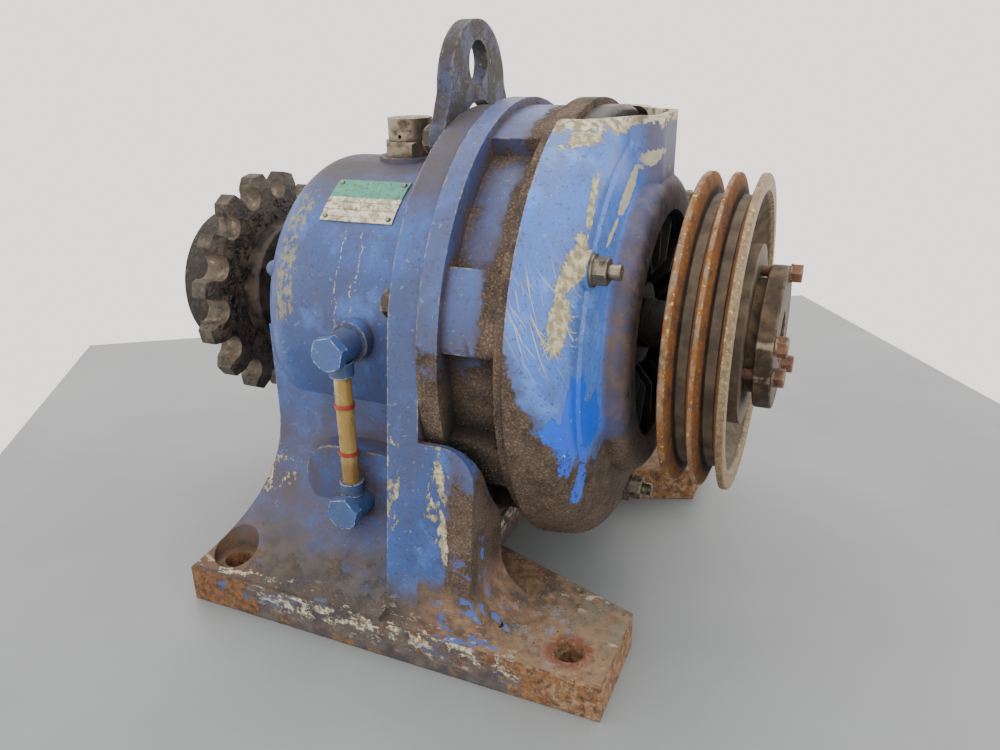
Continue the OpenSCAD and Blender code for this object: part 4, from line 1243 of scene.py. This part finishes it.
@dataclass(frozen=True)
class StainedTube:
    """Clear plastic tube yellowed by oil: amber, glossy, a little light comes through."""

    name: str = "amber_tube"

    def material(self) -> Material:
        """Builds the tube's finish, darker where old oil stands in it.

        Returns:
            The finished material.
        """
        s = Surface(self.name, "#b3924a", 0.12)
        s.coat(s.grain(10, 3, stretch=(1, 1, 4)).step(0.4, 0.65), "#cbb068", 0.14)
        s.coat(s.level(UP, 134, 126) * 0.75, "#8a6530", 0.25)
        s.coat(s.grain(5, 5, 3.0).step(0.58, 0.66) * 0.7, "#6e5a38", 0.6)
        return s.done(0.2, IOR=1.49, Transmission_Weight=0.35, Coat_Weight=0.6)


@dataclass(frozen=True)
class PlainFinish:
    """A small piece's finish: one colour, mottled and slightly soiled."""

    name: str
    colour: str
    mottle: str
    roughness: float
    metallic: float = 0.0
    rounding_mm: float = 0.5

    def material(self) -> Material:
        """Builds the mottled finish.

        Returns:
            The finished material.
        """
        s = Surface(self.name, self.colour, self.roughness, self.metallic)
        s.coat(s.grain(8, 5).step(0.42, 0.62), self.mottle)
        s.relief(s.grain(3, 3, 2.0), 0.15)
        s.vary_roughness(s.grain(6, 3, 3.0), 0.3)
        return s.done(self.rounding_mm)


@dataclass(frozen=True)
class CakedDirt:
    """Clods of dried oily sand: matt brown, with pale grains."""

    name: str = "caked_dirt"
    grime: Grime = Grime()

    def material(self) -> Material:
        """Builds the clods' finish.

        Returns:
            The finished material.
        """
        s = Surface(self.name, self.grime.dark, 0.95)
        self.grime.settle(s, s.number(1.0), 0.8)
        return s.done()


def dress(nodes: Iterable[str], material: Material) -> None:
    """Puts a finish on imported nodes.

    Args:
        nodes: The nodes' names.
        material: Their finish.
    """
    for node in nodes:
        thing = FRAME["nodes"][node]
        thing.data.materials.clear()
        thing.data.materials.append(material)
        DRESSED.add(node)
        LOG.info("%s wears %s", node, material.name)


def piece(name: str, mesh: bmesh.types.BMesh, material: Material, body: str) -> None:
    """Turns a mesh into a piece that rides on a body.

    Args:
        name: The piece's name.
        mesh: Its mesh, which is used up.
        material: Its finish.
        body: The body it moves with.
    """
    data = bpy.data.meshes.new(name)
    mesh.to_mesh(data)
    mesh.free()
    for face in data.polygons:
        face.use_smooth = True
    data.materials.append(material)
    thing = bpy.data.objects.new(name, data)
    bpy.context.scene.collection.objects.link(thing)
    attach(thing, body)
    LOG.info("%s: %d faces on %s", name, len(data.polygons), body)


def anywhere(_point: Vector) -> bool:
    """Lets a clod lie at any point."""
    return True


@dataclass(frozen=True)
class Clods:
    """A scatter of small clods on a node's faces, where rays from a box of starts meet them."""

    name: str
    body: str
    node: str
    low_mm: Triple
    high_mm: Triple
    way: Triple
    count: int
    sizes_mm: tuple[float, float]
    seed: int
    flatness: float = 0.6
    least_facing: float = 0.55
    lifted: float = 0.1
    uneven: tuple[float, float] = (0.7, 1.3)
    corners: int = 12

    def target(self) -> BVHTree:
        """Gives the node's faces as a tree that rays can be cast on.

        Returns:
            The tree.
        """
        thing = FRAME["nodes"][self.node]
        points = [thing.matrix_world @ v.co for v in thing.data.vertices]
        return BVHTree.FromPolygons(points, [list(face.vertices) for face in thing.data.polygons])

    def build(self, material: Material, keep: Callable[[Vector], bool] = anywhere) -> None:
        """Seats a clod wherever a ray hits.

        Args:
            material: The clods' finish.
            keep: Tells whether a clod may lie at a point.
        """
        draw = random.Random(self.seed)
        tree = self.target()
        mesh = bmesh.new()
        way = Vector(self.way)
        for _ in range(self.count):
            start = Vector(draw.uniform(a, b) * MM for a, b in zip(self.low_mm, self.high_mm))
            size = draw.uniform(*self.sizes_mm) * draw.uniform(0.5, 1.0) * MM
            jitter = [draw.uniform(*self.uneven) for _ in range(self.corners)]
            spin = Euler([draw.uniform(0, math.tau) for _ in range(3)]).to_matrix().to_4x4()
            point, normal, _, _ = tree.ray_cast(start, way)
            if point is None or -normal.dot(way) < self.least_facing or not keep(point):
                continue
            seat = normal.to_track_quat("Z", "Y").to_matrix().to_4x4()
            squash = Matrix.Diagonal((1.0, 1.0, self.flatness, 1.0))
            place = Matrix.Translation(point + normal * size * self.lifted) @ seat @ squash @ spin
            made = bmesh.ops.create_icosphere(mesh, subdivisions=1, radius=size / 2)
            for corner, push in zip(made["verts"], jitter, strict=True):
                corner.co = place @ (corner.co * push)
        piece(self.name, mesh, material, self.body)


@dataclass(frozen=True)
class ThreadedEnd:
    """The visible thread on the end of a stud, drawn as close rings on the same pitch."""

    start_mm: Triple
    length_mm: float
    radius_mm: float
    pitch_mm: float = 1.5
    depth_mm: float = 0.35
    root_mm: float = 0.02
    sides: int = 24

    def rings(self, mesh: bmesh.types.BMesh) -> None:
        """Adds the thread's rings, along the shaft's direction.

        Args:
            mesh: The mesh they join.
        """
        turns = int(self.length_mm / self.pitch_mm)
        angles = [math.tau * k / self.sides for k in range(self.sides)]
        x, y, z = (c * MM for c in self.start_mm)
        rows = []
        for step in range(2 * turns + 1):
            out = (self.radius_mm + (self.depth_mm if step % 2 else self.root_mm)) * MM
            along = x + step * self.pitch_mm / 2 * MM
            ring = ((along, y + out * math.cos(a), z + out * math.sin(a)) for a in angles)
            rows.append([mesh.verts.new(corner) for corner in ring])
        for low, high in zip(rows, rows[1:]):
            for k in range(self.sides):
                after = (k + 1) % self.sides
                mesh.faces.new((low[k], low[after], high[after], high[k]))


@dataclass
class FootCasing:
    """The cast foot, barrel and flange, with what is screwed into them."""

    foot_top_mm: float = 31.0
    # clods may lie from 1 mm under a foot's top to 30 mm over it, on its ribs
    clods_from_mm: float = -1.0
    clods_to_mm: float = 30.0
    near_dirt: Clods = Clods(
        "foot_dirt", "housing", "foot_casing",
        (30, -198, 200), (172, -70, 200), (0, 0, -1), 600, (1.0, 3.0), 11,
    )
    far_dirt: Clods = Clods(
        "foot_dirt_far", "housing", "foot_casing",
        (-170, -198, 120), (172, 198, 120), (0, 0, -1), 300, (0.8, 2.4), 12,
    )

    def build(self) -> None:
        """Dresses the casing and scatters dirt on its feet."""
        dress(["foot_casing"], CasingEnamel().material())
        # pressed paper, soaked with oil: nearly black and dull
        paper = PlainFinish("gasket_paper", "#0c0b0b", "#1b1715", 0.8)
        dress(["casing_gasket", "shield_gasket"], paper.material())
        dress(["lifting_lug"], PaintedPlate().material())
        # turned steel, browned by the oil it breathes: a dim glint under stains
        cap = BareSteel("breather_steel", "#8a7f6e", "#4a3b2a", 0.95, 0.42)
        dress(["breather_plug", "breather_cap"], cap.material())
        plug = OiledIron("plug_iron", "#2b2521", "#4b4136")
        dress(["jack_screws", "drain_plug"], plug.material())
        # dirt that has lain dry in the light is paler than the caked dirt
        dry = CakedDirt("dry_dirt", Grime("#5d4a3a", "#80695a", "#98836b")).material()
        self.near_dirt.build(dry, self.on_foot)
        self.far_dirt.build(dry, self.on_foot)

    def on_foot(self, point: Vector) -> bool:
        """Tells whether a point lies on a foot's top, not down a hole."""
        lift = point.z / MM - self.foot_top_mm
        return self.clods_from_mm < lift < self.clods_to_mm


@dataclass
class RingHousing:
    """The ring gear housing and end shield, with their bolts and nuts."""

    pocket_dirt: Clods = Clods(
        "pocket_dirt", "housing", "ring_gear_housing",
        (34, -230, 110), (102, -230, 205), (0, 1, 0), 800, (0.8, 2.4), 21, 0.45, 0.3,
    )

    def build(self, dirt: Material) -> None:
        """Dresses the housing and cakes dirt in its pockets.

        Args:
            dirt: The clods' finish.
        """
        dress(["ring_gear_housing"], HousingEnamel().material())
        # the shield's enamel has gone dark brown under oil and belt dust
        shield = MachineEnamel("shield_enamel", "#241d18", "#1b1613", "#2c251f", "#3c3128", dirt=0.9)
        dress(["end_shield"], shield.material())
        bolt = OiledIron("bolt_iron", "#2b2521", "#4b4136")
        dress(["tie_bolts", "tie_nuts"], bolt.material())
        self.pocket_dirt.build(dirt)


@dataclass
class FanCover:
    """The fan cover and its studs and nuts."""

    stud_r_mm: float = 5.0
    stud_circle_mm: float = 150.0
    stud_angles_deg: tuple[float, ...] = (30.0, 150.0, 270.0)
    stud_chamfer_mm: float = 0.4
    edge_dirt: Clods = Clods(
        "cover_dirt", "housing", "fan_cover",
        (99, -230, 60), (140, -230, 175), (0, 1, 0), 1100, (0.8, 2.2), 31, 0.4, 0.25,
    )

    def build(self, dirt: Material) -> None:
        """Dresses the cover, threads its studs and cakes dirt under its lower edge.

        Args:
            dirt: The clods' finish.
        """
        dress(["fan_cover"], CoverEnamel().material())
        # rolled and cut steel, stained all over by handling and weather: dull brown-grey
        steel = BareSteel("nut_steel", "#8a8272", "#3a2c22", 1.0).material()
        dress(["cover_studs", "cover_nuts"], steel)
        self.threads(steel)
        self.edge_dirt.build(dirt)

    def threads(self, steel: Material) -> None:
        """Cuts the visible thread on each stud, from its nut to its end.

        Args:
            steel: The studs' finish.
        """
        nut_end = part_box("cover_nuts")[1][0] / MM
        stud_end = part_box("cover_studs")[1][0] / MM
        length = stud_end - nut_end - self.stud_chamfer_mm
        mesh = bmesh.new()
        for turn in map(math.radians, self.stud_angles_deg):
            y = self.stud_circle_mm * math.cos(turn)
            z = SHAFT_HEIGHT_MM + self.stud_circle_mm * math.sin(turn)
            ThreadedEnd((nut_end, y, z), length, self.stud_r_mm).rings(mesh)
        piece("stud_threads", mesh, steel, "housing")


@dataclass
class SightGauge:
    """The oil sight gauge on the near side."""

    def build(self) -> None:
        """Dresses fittings, tube and marks."""
        fittings = FittingEnamel().material()
        dress(["gauge_top_fitting", "gauge_low_fitting", "gauge_ferrules"], fittings)
        dress(["gauge_tube"], StainedTube().material())
        # brushed red paint, gone brownish with oil
        dress(["gauge_marks"], PlainFinish("red_rings", "#a03a28", "#86301f", 0.5).material())


@dataclass
class Nameplate:
    """The blank rating plate and its rivets."""

    def build(self) -> None:
        """Dresses plate and rivets."""
        dress(["nameplate"], StampedPlate().material())
        # pressed rivets: grey, brightest on the crown
        dress(["nameplate_rivets"], BareSteel("rivet_steel", "#8e887b").material())


@dataclass
class OutputEnd:
    """Sprocket, collar and the end of the output shaft."""

    web_from_mm: float = 60.0
    web_to_mm: float = 80.0
    web_grease: Clods = Clods(
        "sprocket_grease", "output", "sprocket",
        (-190, -84, 136), (-190, 84, 304), (-1, 0, 0), 900, (2.0, 6.5), 41, 0.35,
    )

    def build(self, grease: Material) -> None:
        """Dresses the drive end and lumps old grease on the sprocket.

        Args:
            grease: The lumps' finish.
        """
        dress(["sprocket"], SprocketIron().material())
        greasy = ["shaft_collar", "output_shaft", "output_seal", "output_key", "sprocket_screw"]
        dress(greasy, GreasyIron("greasy_iron").material())
        self.web_grease.build(grease, self.on_web)

    def on_web(self, point: Vector) -> bool:
        """Tells whether a point is on the web inside the tooth seats."""
        off = math.hypot(point.y, point.z - SHAFT_HEIGHT_MM * MM)
        return self.web_from_mm * MM < off < self.web_to_mm * MM


@dataclass
class InputEnd:
    """Sheave, bushing, fan and the input shaft."""

    def build(self) -> None:
        """Dresses the drive end that the belts run on."""
        dress(["sheave"], RustedSheave().material())
        dress(["bushing"], OiledIron("bushing_iron", "#3b2e23", "#66543f").material())
        dress(["bushing_screws"], OiledIron("screw_iron", "#4c3428", "#7a5540").material())
        shaft = GreasyIron("oily_shaft", "#1a1613", "#332b25", rubbed=0.3)
        dress(["input_shaft", "input_key"], shaft.material())
        # cast iron, nearly black and dull: painted shade for its place inside the cover
        dress(["fan"], PlainFinish("fan_casting", "#100f0e", "#1e1c1a", 0.6, 0.0, 0.2).material())


@dataclass
class Gearing:
    """What runs inside: discs, rollers, pins, bearings and seals."""

    def build(self) -> None:
        """Dresses every node that nothing else has dressed."""
        # moulded rubber: black and matt
        dress(["input_seal"], PlainFinish("seal_rubber", "#141312", "#1f1c1a", 0.6).material())
        # turned bronze: warm, with a soft shine
        bronze = PlainFinish("roller_bronze", "#9a7440", "#7d5b30", 0.35, 1.0)
        dress(["ring_rollers", "output_rollers"], bronze.material())
        # hardened and ground steel: the brightest of the finishes
        steel = BareSteel("ground_steel", "#b9b7b2", stained=0.25, roughness=0.22)
        dress([node for node in FRAME["nodes"] if node not in DRESSED], steel.material())


class Lamp(NamedTuple):
    """A square soft light; its size is in metres and its power in watts."""

    name: str
    place: Triple
    size: float
    power: float
    colour: str


@dataclass
class Studio:
    """A pale bench top, soft light from above and from the window side, and the camera."""

    lens_mm: float = 29.97
    sensor_mm: float = 36.0
    shift_x: float = 0.0257
    shift_y: float = 0.0026
    yaw_deg: float = 115.32
    pitch_deg: float = -22.15
    roll_deg: float = -1.56
    stand: Triple = (0.29215, -0.6300, 0.4337)
    bench_corner: Triple = (-0.789, 0.237, -0.0005)
    bench_heading_deg: float = 33.2
    bench_width: float = 1.20
    bench_depth: float = 2.6
    aim: Triple = (0.0, 0.0, 0.2)
    lamps: tuple[Lamp, ...] = (
        Lamp("ceiling_light", (-0.3, 0.4, 2.3), 1.6, 12, "#fffaf2"),
        Lamp("window_light", (0.7, -2.2, 1.6), 1.4, 10, "#f4f8ff"),
    )
    room_colour: str = "#f2eee8"
    room_strength: float = 2.1

    def camera(self) -> None:
        """Makes the camera and gives it to the scene."""
        yaw, pitch, roll = map(math.radians, (self.yaw_deg, self.pitch_deg, self.roll_deg))
        flat = math.cos(pitch)
        look = Vector((flat * math.cos(yaw), flat * math.sin(yaw), math.sin(pitch)))
        right = look.cross(Vector((0, 0, 1))).normalized()
        up = right.cross(look)
        rolled_right = math.cos(roll) * right + math.sin(roll) * up
        rolled_up = -math.sin(roll) * right + math.cos(roll) * up
        data = bpy.data.cameras.new("camera")
        data.lens, data.sensor_width = self.lens_mm, self.sensor_mm
        data.shift_x, data.shift_y = self.shift_x, self.shift_y
        camera = bpy.data.objects.new("camera", data)
        basis = Matrix((rolled_right, rolled_up, -look)).transposed().to_4x4()
        camera.matrix_world = Matrix.Translation(self.stand) @ basis
        bpy.context.scene.collection.objects.link(camera)
        bpy.context.scene.camera = camera

    def bench(self) -> None:
        """Makes the bench top, painted and with a soft sheen, just under the feet."""
        turn = math.radians(self.bench_heading_deg)
        along = Vector((math.cos(turn), math.sin(turn), 0.0)) * self.bench_width
        towards = Vector((math.sin(turn), -math.cos(turn), 0.0)) * self.bench_depth
        corner = Vector(self.bench_corner)
        corners = [corner, corner + along, corner + along + towards, corner + towards]
        mesh = bpy.data.meshes.new("bench")
        mesh.from_pydata([tuple(c) for c in corners], [], [(0, 1, 2, 3)])
        bench = bpy.data.objects.new("bench", mesh)
        bpy.context.scene.collection.objects.link(bench)
        s = Surface("bench_paint", "#83888b", 0.42)
        s.coat(s.grain(300, 4).step(0.35, 0.7), "#8b9093")
        s.vary_roughness(s.grain(80, 5, 2.0), 0.25)
        mesh.materials.append(s.done())

    def lights(self) -> None:
        """Hangs the lights, turned to the reducer, and sets the pale surroundings."""
        for lamp in self.lamps:
            data = bpy.data.lights.new(lamp.name, "AREA")
            data.shape, data.size, data.energy = "SQUARE", lamp.size, lamp.power
            data.color = linear(lamp.colour)[:3]
            light = bpy.data.objects.new(lamp.name, data)
            light.location = lamp.place
            light.rotation_mode = "QUATERNION"
            away = Vector(lamp.place) - Vector(self.aim)
            light.rotation_quaternion = away.to_track_quat("Z", "Y")
            bpy.context.scene.collection.objects.link(light)
        world = bpy.data.worlds.new("room")
        bpy.context.scene.world = world
        world.use_nodes = True
        back = world.node_tree.nodes["Background"]
        back.inputs[0].default_value = linear(self.room_colour)
        back.inputs[1].default_value = self.room_strength

    def build(self) -> None:
        """Sets up camera, bench and lights."""
        self.camera()
        self.bench()
        self.lights()


def main() -> None:
    """Builds the dressed reducer."""
    logging.basicConfig(level=logging.INFO, format="%(message)s")
    FRAME.update(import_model())
    Studio().build()
    dirt = CakedDirt().material()
    grease = GreasyIron("caked_grease", "#17120f", "#2b231d", rubbed=0.0).material()
    FootCasing().build()
    RingHousing().build(dirt)
    FanCover().build(dirt)
    SightGauge().build()
    Nameplate().build()
    OutputEnd().build(grease)
    InputEnd().build()
    Gearing().build()


if __name__ == "__main__":
    main()
